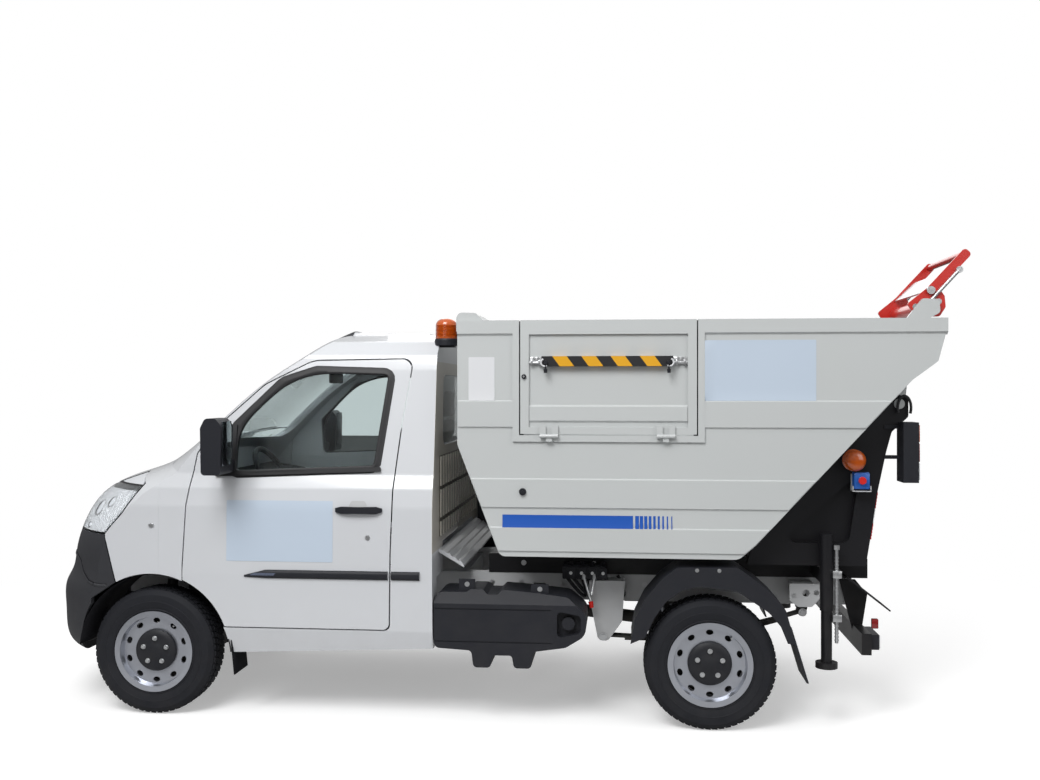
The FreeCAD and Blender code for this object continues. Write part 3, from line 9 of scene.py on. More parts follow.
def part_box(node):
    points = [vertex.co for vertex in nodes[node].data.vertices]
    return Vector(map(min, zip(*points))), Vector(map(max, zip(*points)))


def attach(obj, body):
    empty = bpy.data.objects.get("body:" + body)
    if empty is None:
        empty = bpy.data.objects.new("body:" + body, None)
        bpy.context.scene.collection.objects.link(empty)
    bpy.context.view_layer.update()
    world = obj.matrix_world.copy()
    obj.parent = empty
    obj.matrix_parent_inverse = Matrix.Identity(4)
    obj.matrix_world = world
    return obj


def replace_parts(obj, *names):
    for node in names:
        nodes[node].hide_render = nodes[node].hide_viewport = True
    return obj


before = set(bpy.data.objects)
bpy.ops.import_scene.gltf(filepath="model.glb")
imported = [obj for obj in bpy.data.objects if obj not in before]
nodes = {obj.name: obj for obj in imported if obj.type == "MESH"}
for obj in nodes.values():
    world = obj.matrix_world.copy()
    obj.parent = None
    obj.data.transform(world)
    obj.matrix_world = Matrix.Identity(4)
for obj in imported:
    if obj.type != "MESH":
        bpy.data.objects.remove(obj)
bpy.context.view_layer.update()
SIDES = (("left", -1), ("right", 1))

# Chassis frame
# Two pressed steel rails joined by crossmembers, with outriggers to the cab and horns for the bumper.
# Sprayed in the same light grey as the cab, thinner and duller, and dusted by the road.


def feed(tree, made, inputs):
    """Gives a node its inputs by name or number: a socket is linked, a value is set."""
    for label, value in inputs.items():
        if isinstance(value, bpy.types.NodeSocket):
            tree.links.new(value, made.inputs[label])
        else:
            made.inputs[label].default_value = value


def node(tree, kind, inputs=None, **settings):
    """A new shader node with its settings and inputs."""
    made = tree.nodes.new("ShaderNode" + kind)
    for label, value in settings.items():
        setattr(made, label, value)
    feed(tree, made, inputs or {})
    return made


def maths(tree, operation, *values):
    """What a Math node makes of one or two values."""
    return node(tree, "Math", dict(enumerate(values)), operation=operation).outputs["Value"]


def object_place(tree):
    """The place of a point in its object, which is the frame for every piece here."""
    return node(tree, "TexCoord").outputs["Object"]


def new_group(name, inputs, outputs):
    """An empty shader node group with its named sockets, as (tree, input node, output node)."""
    group = bpy.data.node_groups.new(name, "ShaderNodeTree")
    for label, value in inputs:
        socket = group.interface.new_socket(label, in_out="INPUT", socket_type="NodeSocketFloat")
        socket.default_value = value
    for label in outputs:
        group.interface.new_socket(label, in_out="OUTPUT", socket_type="NodeSocketFloat")
    return group, group.nodes.new("NodeGroupInput"), group.nodes.new("NodeGroupOutput")


def surface_grain():
    """Coarse noise for the tone of a finish and fine noise for its grain."""
    group, given, out = new_group("surface_grain", [("Tone Scale", 3.0), ("Grain Scale", 400.0)],
                                  ["Tone", "Grain"])
    place = object_place(group)
    for label, detail in (("Tone", 5.0), ("Grain", 2.0)):
        noise = node(group, "TexNoise", {"Detail": detail, "Vector": place,
                                         "Scale": given.outputs[label + " Scale"]})
        feed(group, out, {label: noise.outputs["Fac"]})
    return group


def road_dust():
    """Dust in cloudy patches, thickest near the road and gone above a height."""
    group, given, out = new_group("road_dust", [("Top", 0.8), ("Amount", 0.4)], ["Mask"])
    place = object_place(group)
    split = node(group, "SeparateXYZ", {"Vector": place})
    height = node(group, "MapRange", {"Value": split.outputs["Z"], "From Min": 0.15,
                                      "From Max": given.outputs["Top"], "To Min": 1.0, "To Max": 0.0})
    cloud = node(group, "TexNoise", {"Vector": place, "Scale": 13.0, "Detail": 8.0})
    patches = node(group, "MapRange", {"Value": cloud.outputs["Fac"], "From Min": 0.30, "From Max": 0.85})
    both = maths(group, "MULTIPLY", height.outputs["Result"], patches.outputs["Result"])
    feed(group, out, {"Mask": maths(group, "MULTIPLY", both, given.outputs["Amount"])})
    return group


GRAIN = surface_grain()
DUST = road_dust()
DUST_COLOUR = (0.30, 0.27, 0.23)
DUST_ROUGHNESS = 0.85


def bare_material(name, inputs=None):
    """A new material with one shader, as (material, node tree, shader)."""
    material = bpy.data.materials.new(name)
    material.use_nodes = True
    tree = material.node_tree
    tree.nodes.clear()
    shader = node(tree, "BsdfPrincipled", inputs)
    node(tree, "OutputMaterial", {"Surface": shader.outputs["BSDF"]})
    return material, tree, shader


def mixed(tree, mask, first, second, data_type="RGBA"):
    """What a Mix node makes of two colours or values, each a socket or a constant."""
    low, high, result = {"RGBA": (6, 7, 2), "FLOAT": (2, 3, 0)}[data_type]
    pair = [(*given, 1.0) if isinstance(given, (tuple, list)) else given for given in (first, second)]
    made = node(tree, "Mix", {0: mask, low: pair[0], high: pair[1]}, data_type=data_type)
    return made.outputs[result]


def finish(name, colour, drift=0.06, roughness=0.4, spread=0.06, metallic=0.0, coat=0.0, tone_scale=3.0,
           grain_scale=400.0, grain_depth=0.0001, dust_top=0.0, dust=0.4, shine=0.5):
    """A finish whose tone and gloss drift, with fine grain, and road dust where it sits low."""
    material, tree, shader = bare_material(name, {
        "Metallic": metallic, "Coat Weight": coat, "Coat Roughness": 0.06, "Specular IOR Level": shine})
    grain = node(tree, "Group", {"Tone Scale": tone_scale, "Grain Scale": grain_scale}, node_tree=GRAIN)
    tone = grain.outputs["Tone"]
    darker = [channel * (1 - drift) for channel in colour]
    lighter = [min(1.0, channel * (1 + drift)) for channel in colour]
    shade = mixed(tree, tone, darker, lighter)
    gloss = mixed(tree, tone, roughness - spread, roughness + spread, "FLOAT")
    if dust_top > 0:
        layer = node(tree, "Group", {"Top": dust_top, "Amount": dust}, node_tree=DUST).outputs["Mask"]
        shade = mixed(tree, layer, shade, DUST_COLOUR)
        gloss = mixed(tree, layer, gloss, DUST_ROUGHNESS, "FLOAT")
    bump = node(tree, "Bump", {"Distance": grain_depth, "Height": grain.outputs["Grain"]})
    feed(tree, shader, {"Base Color": shade, "Roughness": gloss, "Normal": bump.outputs["Normal"]})
    return material


def dress(material, *names):
    """Gives CAD nodes a material in place of their plain one."""
    for name in names:
        nodes[name].data.materials.clear()
        nodes[name].data.materials.append(material)


frame_paint = finish("frame_paint", (0.50, 0.51, 0.52), roughness=0.45, grain_scale=250,
                     grain_depth=0.0003, dust_top=0.75, dust=0.3)
dress(frame_paint, "chassis_frame")

# Axles, springs and steering
# A tubular rear axle on leaf springs, and front knuckles with brake discs on struts and lower arms.
# Cast and forged steel under thin black paint, browned by the road.

running_gear = finish("running_gear", (0.016, 0.016, 0.016), drift=0.3, shine=0.3, roughness=0.55,
                      tone_scale=9, grain_scale=150, grain_depth=0.0008, dust_top=0.9, dust=0.2)
cast_iron = finish("cast_iron", (0.11, 0.105, 0.10), drift=0.2, roughness=0.6, metallic=0.6, tone_scale=7,
                   grain_scale=220, grain_depth=0.001, dust_top=1.0, dust=0.5)
dress(running_gear, "rear_axle", "leaf_springs", "front_suspension", "knuckle_left", "knuckle_right",
      "drive_shaft")
dress(cast_iron, "engine_block")


def block(bm, low, high, rounding=0.002, segments=2):
    """A block between two corners with rounded edges. Returns its vertices."""
    low, high = Vector(low), Vector(high)
    before = set(bm.verts)
    made = bmesh.ops.create_cube(bm, size=1.0)["verts"]
    bmesh.ops.scale(bm, vec=high - low, verts=made)
    bmesh.ops.translate(bm, vec=(low + high) / 2, verts=made)
    edges = list({edge for vert in made for edge in vert.link_edges})
    if rounding > 0:
        bmesh.ops.bevel(bm, geom=edges, offset=rounding, offset_type="OFFSET", segments=segments,
                        profile=0.5, affect="EDGES", material=-1)
    return [vert for vert in bm.verts if vert not in before]


def side_block(bm, side, x, y, z, rounding=0.002):
    """A block on one side of the truck between pairs of x, y and z; y counts outwards."""
    inner, outer = sorted((side * y[0], side * y[1]))
    return block(bm, (x[0], inner, z[0]), (x[1], outer, z[1]), rounding)


def rod(bm, start, end, radius, far_radius=None, sides=24):
    """A round bar or cone from one point to another. Returns its vertices."""
    start, end = Vector(start), Vector(end)
    along = end - start
    turn = along.to_track_quat("Z", "Y").to_matrix().to_4x4()
    made = bmesh.ops.create_cone(bm, cap_ends=True, segments=sides, radius1=radius,
                                 radius2=radius if far_radius is None else far_radius,
                                 depth=along.length, matrix=Matrix.Translation((start + end) / 2) @ turn)
    return made["verts"]


def level_rod(bm, place, reach, radius, far_radius=None, sides=24):
    """A round bar that stands out sideways from a place by reach, to the left if reach is negative."""
    return rod(bm, place, Vector(place) + Vector((0, reach, 0)), radius, far_radius, sides)


def tube(bm, points, radius, sides=12):
    """A bent round bar through points."""
    for first, second in zip(points, points[1:]):
        rod(bm, first, second, radius, sides=sides)


def turned(bm, profile, centre, outward=1, steps=64):
    """A ring turned about the line through centre along Y. profile holds (radius, y) points."""
    centre = Vector(centre)
    verts = [bm.verts.new(centre + Vector((0, outward * y, radius))) for radius, y in profile]
    edges = [bm.edges.new(ends) for ends in zip(verts, verts[1:])]
    bmesh.ops.spin(bm, geom=verts + edges, cent=centre, axis=(0, 1, 0), angle=2 * math.pi, steps=steps,
                   use_merge=True)
    bmesh.ops.remove_doubles(bm, verts=bm.verts, dist=0.00001)


def skin_rows(bm, rows, closed=False):
    """Faces between rows of points; closed joins each row's last point to its first."""
    for first, second in zip(rows, rows[1:]):
        for index in range(len(first) if closed else len(first) - 1):
            after = (index + 1) % len(first)
            bm.faces.new((first[index], first[after], second[after], second[index]))


def settle(name, bm, material, body, sharp=35):
    """Turns a bmesh into a finished piece that rides on a body."""
    bmesh.ops.recalc_face_normals(bm, faces=bm.faces)
    mesh = bpy.data.meshes.new(name)
    bm.to_mesh(mesh)
    bm.free()
    mesh.materials.append(material)
    for polygon in mesh.polygons:
        polygon.use_smooth = True
    mesh.set_sharp_from_angle(angle=math.radians(sharp))
    piece = bpy.data.objects.new(name, mesh)
    bpy.context.scene.collection.objects.link(piece)
    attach(piece, body)
    return piece


def bolts(bm, places, direction, radius=0.008, height=0.006):
    """Hexagon heads on washers at places, standing out along a direction."""
    direction = Vector(direction).normalized()
    for place in places:
        place = Vector(place)
        rod(bm, place - direction * 0.001, place + direction * 0.0015, radius * 1.5, sides=16)
        rod(bm, place, place + direction * height, radius, sides=6)


# Wheels
# Pressed steel rims with ten openings, a black plastic cover over the hub and five nuts through it.
# The tyres are radial van tyres with a block tread, turned to the road size of the frame's own tyres.

rim_paint = finish("rim_steel", (0.46, 0.48, 0.53), drift=0.05, roughness=0.30, metallic=0.85, coat=0.2,
                   tone_scale=12, grain_scale=600, grain_depth=0.00005, dust_top=0.7, dust=0.12)
tyre_rubber = finish("tyre", (0.012, 0.013, 0.017), drift=0.2, roughness=0.7, tone_scale=14, shine=0.25,
                     grain_scale=500, grain_depth=0.0004, dust_top=0.65, dust=0.03)
hub_plastic = finish("hub_cover", (0.012, 0.013, 0.017), roughness=0.5, grain_scale=700, shine=0.3,
                     grain_depth=0.0002, dust_top=0.7, dust=0.05)
zinc_steel = finish("zinc_steel", (0.58, 0.59, 0.60), drift=0.12, roughness=0.32, metallic=0.9,
                    tone_scale=25, grain_scale=300, grain_depth=0.0002)
WHEELS = {"front_left": -1, "front_right": 1, "rear_left": -1, "rear_right": 1}
TREAD_DEPTH = 0.007
TREAD_PITCHES = 60
TREAD_SLANT = 0.35
BEAD_RADIUS = 0.1785
RIM_FACE = 0.043
COVER_RADIUS = 0.1012
DRUM_RADII = (0.124, 0.150, 0.157)
NUT_CIRCLE = 0.060
VALVE_CIRCLE, VALVE_ANGLE = 0.155, 0.9
tyre_low, tyre_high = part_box("tyre_rear_left")
TYRE_RADIUS = (tyre_high.z - tyre_low.z) / 2
TYRE_HALF = (tyre_high.y - tyre_low.y) / 2


def tyre_mesh(centre):
    """A carcass turned about the axle, with a ring of tread blocks on it."""
    bm = bmesh.new()
    base, w = TYRE_RADIUS - TREAD_DEPTH, TYRE_HALF
    side = [(BEAD_RADIUS, 0.070), (0.190, 0.0735), (0.197, 0.077), (0.199, 0.0815), (0.203, 0.082),
            (0.2055, 0.0795), (0.220, 0.0835), (0.236, w - 0.0012), (0.2375, w), (0.241, w),
            (0.2425, w - 0.0012), (0.256, w - 0.001), (0.270, 0.0835), (0.2725, 0.0835), (0.280, 0.0785),
            (0.288, 0.071), (0.2945, 0.0655), (base, 0.058)]
    profile = side + [(base + 0.0005, 0.0)] + [(radius, -y) for radius, y in reversed(side)]
    turned(bm, profile + [profile[0]], centre, steps=96)
    pitch_angle = 2 * math.pi / TREAD_PITCHES
    length = base * pitch_angle
    blocks = []
    for y, half, share, shift, drop in (
            (0.0, 0.012, 0.86, 0.0, 0.0011), (0.0225, 0.0075, 0.72, 0.004, 0.0011),
            (-0.0225, 0.0075, 0.72, -0.004, 0.0011), (0.0465, 0.0125, 0.76, 0.002, 0.0036),
            (-0.0465, 0.0125, 0.76, -0.002, 0.0036)):
        reach = length * share / 2
        low = (centre[0] - reach + shift, centre[1] + y - half, centre[2] + base - 0.004)
        high = (centre[0] + reach + shift, centre[1] + y + half, centre[2] + TYRE_RADIUS - drop)
        verts = block(bm, low, high, rounding=0.0)
        for vert in verts:
            vert.co.x += (vert.co.y - centre[1]) * TREAD_SLANT
        blocks += verts
    shape = list({face for vert in blocks for face in vert.link_faces})
    edges = list({edge for face in shape for edge in face.edges})
    bmesh.ops.spin(bm, geom=blocks + edges + shape, cent=centre, axis=(0, 1, 0),
                   angle=2 * math.pi - pitch_angle, steps=TREAD_PITCHES - 1, use_duplicate=True)
    return bm


def hub_cover_mesh(centre, outward):
    """The black cover over the wheel's middle, turned as a shallow dome."""
    bm = bmesh.new()
    profile = [(0.0, 0.0245), (0.030, 0.0245), (0.034, 0.0225), (0.072, 0.0225), (0.080, 0.0215),
               (0.092, 0.0175), (0.0990, 0.0130), (COVER_RADIUS, 0.005), (COVER_RADIUS, -0.001),
               (0.0, -0.001)]
    turned(bm, [(radius, RIM_FACE + y) for radius, y in profile], centre, outward)
    return bm


def wheel_nuts_mesh(centre, outward):
    """Five wheel nuts with their studs, and the tyre valve."""
    bm = bmesh.new()

    def spot(circle, angle, height):
        return Vector(centre) + Vector((circle * math.cos(angle), outward * (RIM_FACE + height),
                                        circle * math.sin(angle)))

    for number in range(5):
        nut = spot(NUT_CIRCLE, math.radians(90 + 72 * number), 0.02)
        level_rod(bm, nut, outward * 0.004, 0.0125, 0.0115)
        level_rod(bm, nut, outward * 0.012, 0.0095, sides=6)
        level_rod(bm, nut, outward * 0.0165, 0.005, 0.0045, sides=12)
    level_rod(bm, spot(VALVE_CIRCLE, VALVE_ANGLE, 0.004), outward * 0.026, 0.0045, 0.0038, sides=12)
    return bm


def drum_mesh(centre, outward):
    """The dark drum or shield that shows through a rim's openings."""
    bm = bmesh.new()
    inner, face, rim = DRUM_RADII
    profile = [(inner, -0.012), (inner, -0.004), (face, -0.004), (rim, -0.010), (rim, -0.030),
               (rim - 0.004, -0.030), (rim - 0.004, -0.012)]
    turned(bm, profile + [profile[0]], centre, outward)
    return bm


for wheel, outward in WHEELS.items():
    dress(rim_paint, "rim_" + wheel)
    low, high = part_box("tyre_" + wheel)
    centre, body = (low + high) / 2, "wheel_" + wheel
    tyre = settle("tread_tyre_" + wheel, tyre_mesh(centre), tyre_rubber, body, sharp=30)
    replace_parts(tyre, "tyre_" + wheel)
    for label, form, material, slot in (
            ("hub_cover_", hub_cover_mesh(centre, outward), hub_plastic, "black_plastic"),
            ("wheel_nuts_", wheel_nuts_mesh(centre, outward), zinc_steel, "zinc_steel"),
            ("drum_", drum_mesh(centre, outward), running_gear, "running_gear")):
        settle(label + wheel, form, material, body)

# Exhaust and fuel side
# A muffler with its two pipes, welded of aluminised sheet and dulled by heat.

exhaust_steel = finish("exhaust_steel", (0.33, 0.29, 0.25), drift=0.3, roughness=0.5, metallic=0.8,
                       tone_scale=10, grain_scale=200, grain_depth=0.0006, dust_top=0.8, dust=0.5)
dress(exhaust_steel, "exhaust")

# Cab body
# Pressed steel panels welded into one cab, with doors and a bonnet hung on, in white-grey gloss paint with
# a clear coat. The arches are dull black and the rear wall is yellowish; the sunk panel between its ribs
# is darkened with painted shade.

CAB_COLOUR = (0.60, 0.615, 0.64)
cab_paint = finish("cab_paint", CAB_COLOUR, drift=0.02, roughness=0.32, coat=0.7, tone_scale=1.5,
                   grain_scale=1200, grain_depth=0.00001, dust_top=0.6, dust=0.16)
AXLE_X, AXLE_Z, ARCH_RADIUS = -1.658, 0.304, 0.3795
REAR_WALL, SUNK_WALL = -0.2942, -0.2893
# WALL_PAINT is the rear wall's yellowish colour; the last colour here is painted shade for the sunk panel
# between its ribs.
ARCH_BLACK, WALL_PAINT, RIB_GAP_PAINTED_SHADE = (0.016, 0.016, 0.018), (0.56, 0.53, 0.47), (0.13, 0.12, 0.10)


def zone_mask(tree, *tests):
    """One where all tests hold. A test is (axis, limit, sign): 1 above, -1 below, 0 a size below it."""
    split = node(tree, "SeparateXYZ", {"Vector": object_place(tree)})
    result = None
    for axis, limit, sign in tests:
        source = split.outputs[axis] if sign else maths(tree, "ABSOLUTE", split.outputs[axis])
        test = maths(tree, "GREATER_THAN" if sign > 0 else "LESS_THAN", source, limit)
        result = test if result is None else maths(tree, "MULTIPLY", result, test)
    return result


def shader_of(material):
    """The one shader of a material."""
    return next(made for made in material.node_tree.nodes if made.type == "BSDF_PRINCIPLED")


def repaint(material, mask, colour, roughness):
    """Lays a second, dull finish over a material where the mask is one."""
    tree, shader = material.node_tree, shader_of(material)
    base, gloss = [shader.inputs[label].links[0].from_socket for label in ("Base Color", "Roughness")]
    clear = node(tree, "Math", {0: shader.inputs["Coat Weight"].default_value, 1: mask},
                 operation="SUBTRACT", use_clamp=True)
    feed(tree, shader, {"Base Color": mixed(tree, mask, base, colour),
                        "Roughness": mixed(tree, mask, gloss, roughness, "FLOAT"),
                        "Coat Weight": clear.outputs["Value"]})


def arch_mask(tree):
    """One inside the front wheel arches."""
    shift = node(tree, "VectorMath", {0: object_place(tree), 1: (1, 0, 1), 2: (-AXLE_X, 0, -AXLE_Z)},
                 operation="MULTIPLY_ADD")
    reach = node(tree, "VectorMath", {0: shift.outputs["Vector"]}, operation="LENGTH")
    near = maths(tree, "LESS_THAN", reach.outputs["Value"], ARCH_RADIUS + 0.008)
    return maths(tree, "MULTIPLY", near, zone_mask(tree, ("Y", 0.800, 0)))


cab_tree = cab_paint.node_tree
repaint(cab_paint, arch_mask(cab_tree), ARCH_BLACK, 0.75)
repaint(cab_paint, zone_mask(cab_tree, ("X", REAR_WALL, 1), ("Z", 0.797, 1), ("Z", 1.70, -1)),
        WALL_PAINT, 0.6)
# Painted shade: the sunk panel between the rear wall's ribs is given a dark colour in place of the shade
# that falls there.
repaint(cab_paint, zone_mask(cab_tree, ("X", REAR_WALL, 1), ("X", SUNK_WALL, -1), ("Y", 0.62, 0),
                             ("Z", 0.85, 1), ("Z", 1.245, -1)), RIB_GAP_PAINTED_SHADE, 0.6)
dress(cab_paint, "cab_shell", "cab_floor", "front_wings", "bonnet", "door_left", "door_right")

# Dashboard, steering wheel and seats
# A moulded dashboard and a foam rimmed wheel in grained plastic, and two seats of padded woven cloth.
# Each seat is a cushion, a back and a headrest on two steel posts, with sewn channels.

trim_plastic = finish("trim_plastic", (0.030, 0.031, 0.034), roughness=0.6, grain_scale=500,
                      grain_depth=0.0006)
dress(trim_plastic, "dashboard", "steering_wheel")


def woven_cloth():
    """Dark seat cloth: crossed threads in the bump and a fine fleck in the colour."""
    material, tree, shader = bare_material("seat_cloth", {"Roughness": 0.9, "Sheen Weight": 0.3})
    place = object_place(tree)
    threads = [node(tree, "TexWave", {"Scale": 220.0, "Distortion": 1.5, "Vector": place},
                    bands_direction=axis).outputs["Fac"] for axis in ("X", "Y")]
    weave = maths(tree, "MAXIMUM", *threads)
    bump = node(tree, "Bump", {"Distance": 0.0008, "Height": weave})
    feed(tree, shader, {"Base Color": mixed(tree, weave, (0.014, 0.015, 0.018), (0.05, 0.052, 0.058)),
                        "Normal": bump.outputs["Normal"]})
    return material


seat_cloth = woven_cloth()
CHANNEL_WIDTH, CHANNEL_DEPTH = 0.011, 0.012


def padded_form(centre, size, rounding, crown, channels, lean):
    """A crowned pad: a rounded block whose face swells between its sewn channels.

    crown lifts the local +Z face, channels are places along X and Y where it is sewn down.
    """
    bm = bmesh.new()
    bmesh.ops.create_cube(bm, size=2.0)
    bmesh.ops.subdivide_edges(bm, edges=bm.edges, cuts=17, use_grid_fill=True)
    half = Vector(size) / 2
    core = Vector([side - rounding for side in half])
    for vert in bm.verts:
        flat = Vector([vert.co[i] * half[i] for i in range(3)])
        inner = Vector([max(-core[i], min(core[i], flat[i])) for i in range(3)])
        away = flat - inner
        if away.length > 0:
            flat = inner + away.normalized() * rounding
        u, v = flat.x / half.x, flat.y / half.y
        fullness = max(0.0, (1 - u * u) * (1 - v * v)) ** 0.5
        sewn = sum(math.exp(-((flat[axis] - at) / CHANNEL_WIDTH) ** 2) for axis, at in channels)
        if flat.z > 0:
            flat.z += (crown - CHANNEL_DEPTH * min(sewn, 1.0)) * fullness
        flat.y *= 1 - 0.03 * (1 - u * u)
        vert.co = flat
    bmesh.ops.rotate(bm, verts=bm.verts, cent=(0, 0, 0), matrix=Matrix.Rotation(lean, 3, "Y"))
    bmesh.ops.translate(bm, verts=bm.verts, vec=centre)
    return bm


SEAT_MIDDLE = 0.36
BACK_TURN = math.radians(13 - 90)
for label, side in SIDES:
    y = side * SEAT_MIDDLE
    pads = {
        "seat_cushion_": padded_form((-0.800, y, 0.918), (0.49, 0.46, 0.125), 0.045, 0.012,
                                     [(1, -0.14), (1, 0.14), (0, 0.10)], 0.0),
        "seat_back_": padded_form((-0.492, y, 1.150), (0.50, 0.46, 0.105), 0.042, 0.012,
                                  [(1, -0.14), (1, 0.14), (0, 0.12)], BACK_TURN),
        "headrest_": padded_form((-0.409, y, 1.485), (0.150, 0.23, 0.058), 0.026, 0.006, [], BACK_TURN),
    }
    for name, form in pads.items():
        pad = settle(name + label, form, seat_cloth, "root", sharp=80)
        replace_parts(pad, "seats")
    posts = bmesh.new()
    for offset in (-0.06, 0.06):
        rod(posts, (-0.428, y + offset, 1.38), (-0.412, y + offset, 1.44), 0.006, sides=12)
    settle("headrest_posts_" + label, posts, zinc_steel, "root")

# Window glass
# Flat tempered panes in the doors and a curved screen, green tinted, set in black rubber.

glass = bare_material("tinted_glass", {"Base Color": (0.70, 0.76, 0.76, 1.0), "Roughness": 0.01,
                                       "Transmission Weight": 1.0, "IOR": 1.3})[0]
dress(glass, "cab_glass", "door_glass_left", "door_glass_right")
rubber = finish("window_rubber", (0.012, 0.012, 0.014), roughness=0.55, grain_scale=600,
                grain_depth=0.0002)
CAST_FROM = 3.0
FLANK_Y = 0.82


def surface_of(*names):
    """The faces of CAD nodes as one tree that lines can be cast on."""
    points, faces = [], []
    for name in names:
        mesh = nodes[name].data
        start = len(points)
        points += [vertex.co.copy() for vertex in mesh.vertices]
        faces += [[start + index for index in polygon.vertices] for polygon in mesh.polygons]
    return BVHTree.FromPolygons(points, faces)


def cast(surface, start, along):
    """Where a line first meets a surface, and the normal there, turned against the line."""
    along = Vector(along)
    place, normal = surface.ray_cast(Vector(start), along)[:2]
    if place is None:
        return None, None
    return place, normal if normal.dot(along) < 0 else -normal


def cast_level(surface, side, x, z):
    """The same for a level line from the left (-1) or the right (1)."""
    return cast(surface, (x, side * CAST_FROM, z), (0, -side, 0))


def cast_down(surface, x, y):
    """The same for a line from above."""
    return cast(surface, (x, y, CAST_FROM), (0, 0, -1))


def beside(surface, side, x, z):
    """The place that a level line meets."""
    return cast_level(surface, side, x, z)[0]


def rounded_outline(corners, steps=6):
    """Points round an outline whose corners are (x, z, radius), each corner an arc of steps."""
    points = []
    for index, (x, z, radius) in enumerate(corners):
        corner = Vector((x, z))
        before = (Vector(corners[index - 1][:2]) - corner).normalized()
        after = (Vector(corners[(index + 1) % len(corners)][:2]) - corner).normalized()
        half = before.angle(after) / 2
        start = corner + before * radius / math.tan(half)
        end = corner + after * radius / math.tan(half)
        for step in range(steps + 1):
            t = step / steps
            points.append((1 - t) ** 2 * start + 2 * t * (1 - t) * corner + t ** 2 * end)
    return points


def rectangle(x0, x1, z0, z1, radius=0.004):
    """The outline of a rectangle with small rounded corners."""
    return rounded_outline([(x0, z0, radius), (x1, z0, radius), (x1, z1, radius), (x0, z1, radius)], 2)


def sheet_on(bm, outline, surface, side, lift, cell=0.03):
    """A sheet cut to an outline in the side view, in cells, and laid on a surface."""
    before = set(bm.verts)
    ring = [bm.verts.new((x, side, z)) for x, z in outline]
    bm.faces.new(ring)
    for axis in (0, 2):
        low, high = min(vert.co[axis] for vert in ring), max(vert.co[axis] for vert in ring)
        normal = Vector([float(axis == index) for index in range(3)])
        count = int((high - low) / cell)
        for number in range(1, count + 1):
            level = low + (high - low) * number / (count + 1)
            fresh = [face for face in bm.faces if not before.intersection(face.verts)]
            edges = {edge for face in fresh for edge in face.edges}
            verts = {vert for face in fresh for vert in face.verts}
            bmesh.ops.bisect_plane(bm, geom=[*fresh, *edges, *verts], dist=0.00001,
                                   plane_co=normal * level, plane_no=normal)
    for vert in bm.verts:
        if vert not in before:
            place = beside(surface, side, vert.co.x, vert.co.z)
            place = place or surface.find_nearest(Vector((vert.co.x, side * FLANK_Y, vert.co.z)))[0]
            vert.co.y = place.y + side * lift


def walled(piece, thickness, offset):
    """Gives a sheet its thickness."""
    modifier = piece.modifiers.new("thickness", "SOLIDIFY")
    modifier.thickness = thickness
    modifier.offset = offset
    return piece


def backed(piece, thickness):
    """Gives a laid sheet a sharp rim and its thickness, towards what it lies on."""
    uses = Counter(key for polygon in piece.data.polygons for key in polygon.edge_keys)
    for edge in piece.data.edges:
        if uses[edge.key] == 1:
            edge.use_edge_sharp = True
    return walled(piece, thickness, 1.0)


def laid(name, outline, surface, side, lift, thickness, material, body, sharp=35):
    """A finished piece of sheet, cut to an outline in the side view and laid on a surface."""
    bm = bmesh.new()
    sheet_on(bm, outline, surface, side, lift)
    return backed(settle(name, bm, material, body, sharp), thickness)


WINDOW = [(-1.262, 1.172, 0.025), (-0.578, 1.200, 0.025), (-0.520, 1.640, 0.028), (-0.880, 1.652, 0.045),
          (-1.040, 1.600, 0.06), (-1.262, 1.383, 0.030)]
WINDOW_MIDDLE = Vector((-0.87, 1.42))
GASKET_SECTION = ((-0.006, -0.026), (-0.006, 0.001), (0.002, 0.0045), (0.010, 0.0035), (0.012, 0.0025),
                  (0.028, 0.0025), (0.030, 0.0))
ON_DOOR, EASED_TO = 0.004, 0.008


def ramp(value, start, width):
    """Rises from 0 to 1 over a width."""
    return min(1.0, max(0.0, (value - start) / width))


def eased(points, spacing=0.012, rounds=60):
    """An outline in even steps, and the same with its upper front corners drawn into one long curve."""
    closed = points + [points[0]]
    lengths = [(after - before).length for before, after in zip(closed, closed[1:])]
    count = int(sum(lengths) / spacing)
    loop, index, walked = [], 0, 0.0
    for number in range(count):
        target = sum(lengths) * number / count
        while walked + lengths[index] < target:
            walked += lengths[index]
            index += 1
        share = (target - walked) / max(lengths[index], 1e-9)
        loop.append(closed[index].lerp(closed[index + 1], share))
    plain = list(loop)
    for _ in range(rounds):
        moved = []
        for number, spot in enumerate(loop):
            weight = ramp(-spot.x, 0.72, 0.06) * ramp(spot.y, 1.24, 0.06)
            middle = (loop[number - 1] + loop[(number + 1) % count]) / 2
            moved.append(spot.lerp(middle, 0.5 * weight))
        loop = moved
    return plain, loop


def gasket_mesh(side, surface):
    """The rubber round a door window: a flat band on the door, turned in at the opening."""
    bm = bmesh.new()
    plain, loop = eased(rounded_outline(WINDOW, 12))
    rows = []
    for grow, lift in GASKET_SECTION:
        row = []
        for index, edge in enumerate(plain):
            along = (plain[(index + 1) % len(plain)] - plain[index - 1]).normalized()
            out = Vector((along.y, -along.x))
            if out.dot(edge - WINDOW_MIDDLE) < 0:
                out = -out
            place = beside(surface, side, *(edge + out * max(grow, ON_DOOR)))
            level = place.y if place else side * 0.8
            spot = (edge if grow > EASED_TO else loop[index]) + out * grow
            row.append(bm.verts.new((spot.x, level + side * lift, spot.y)))
        rows.append(row)
    skin_rows(bm, rows, closed=True)
    return bm


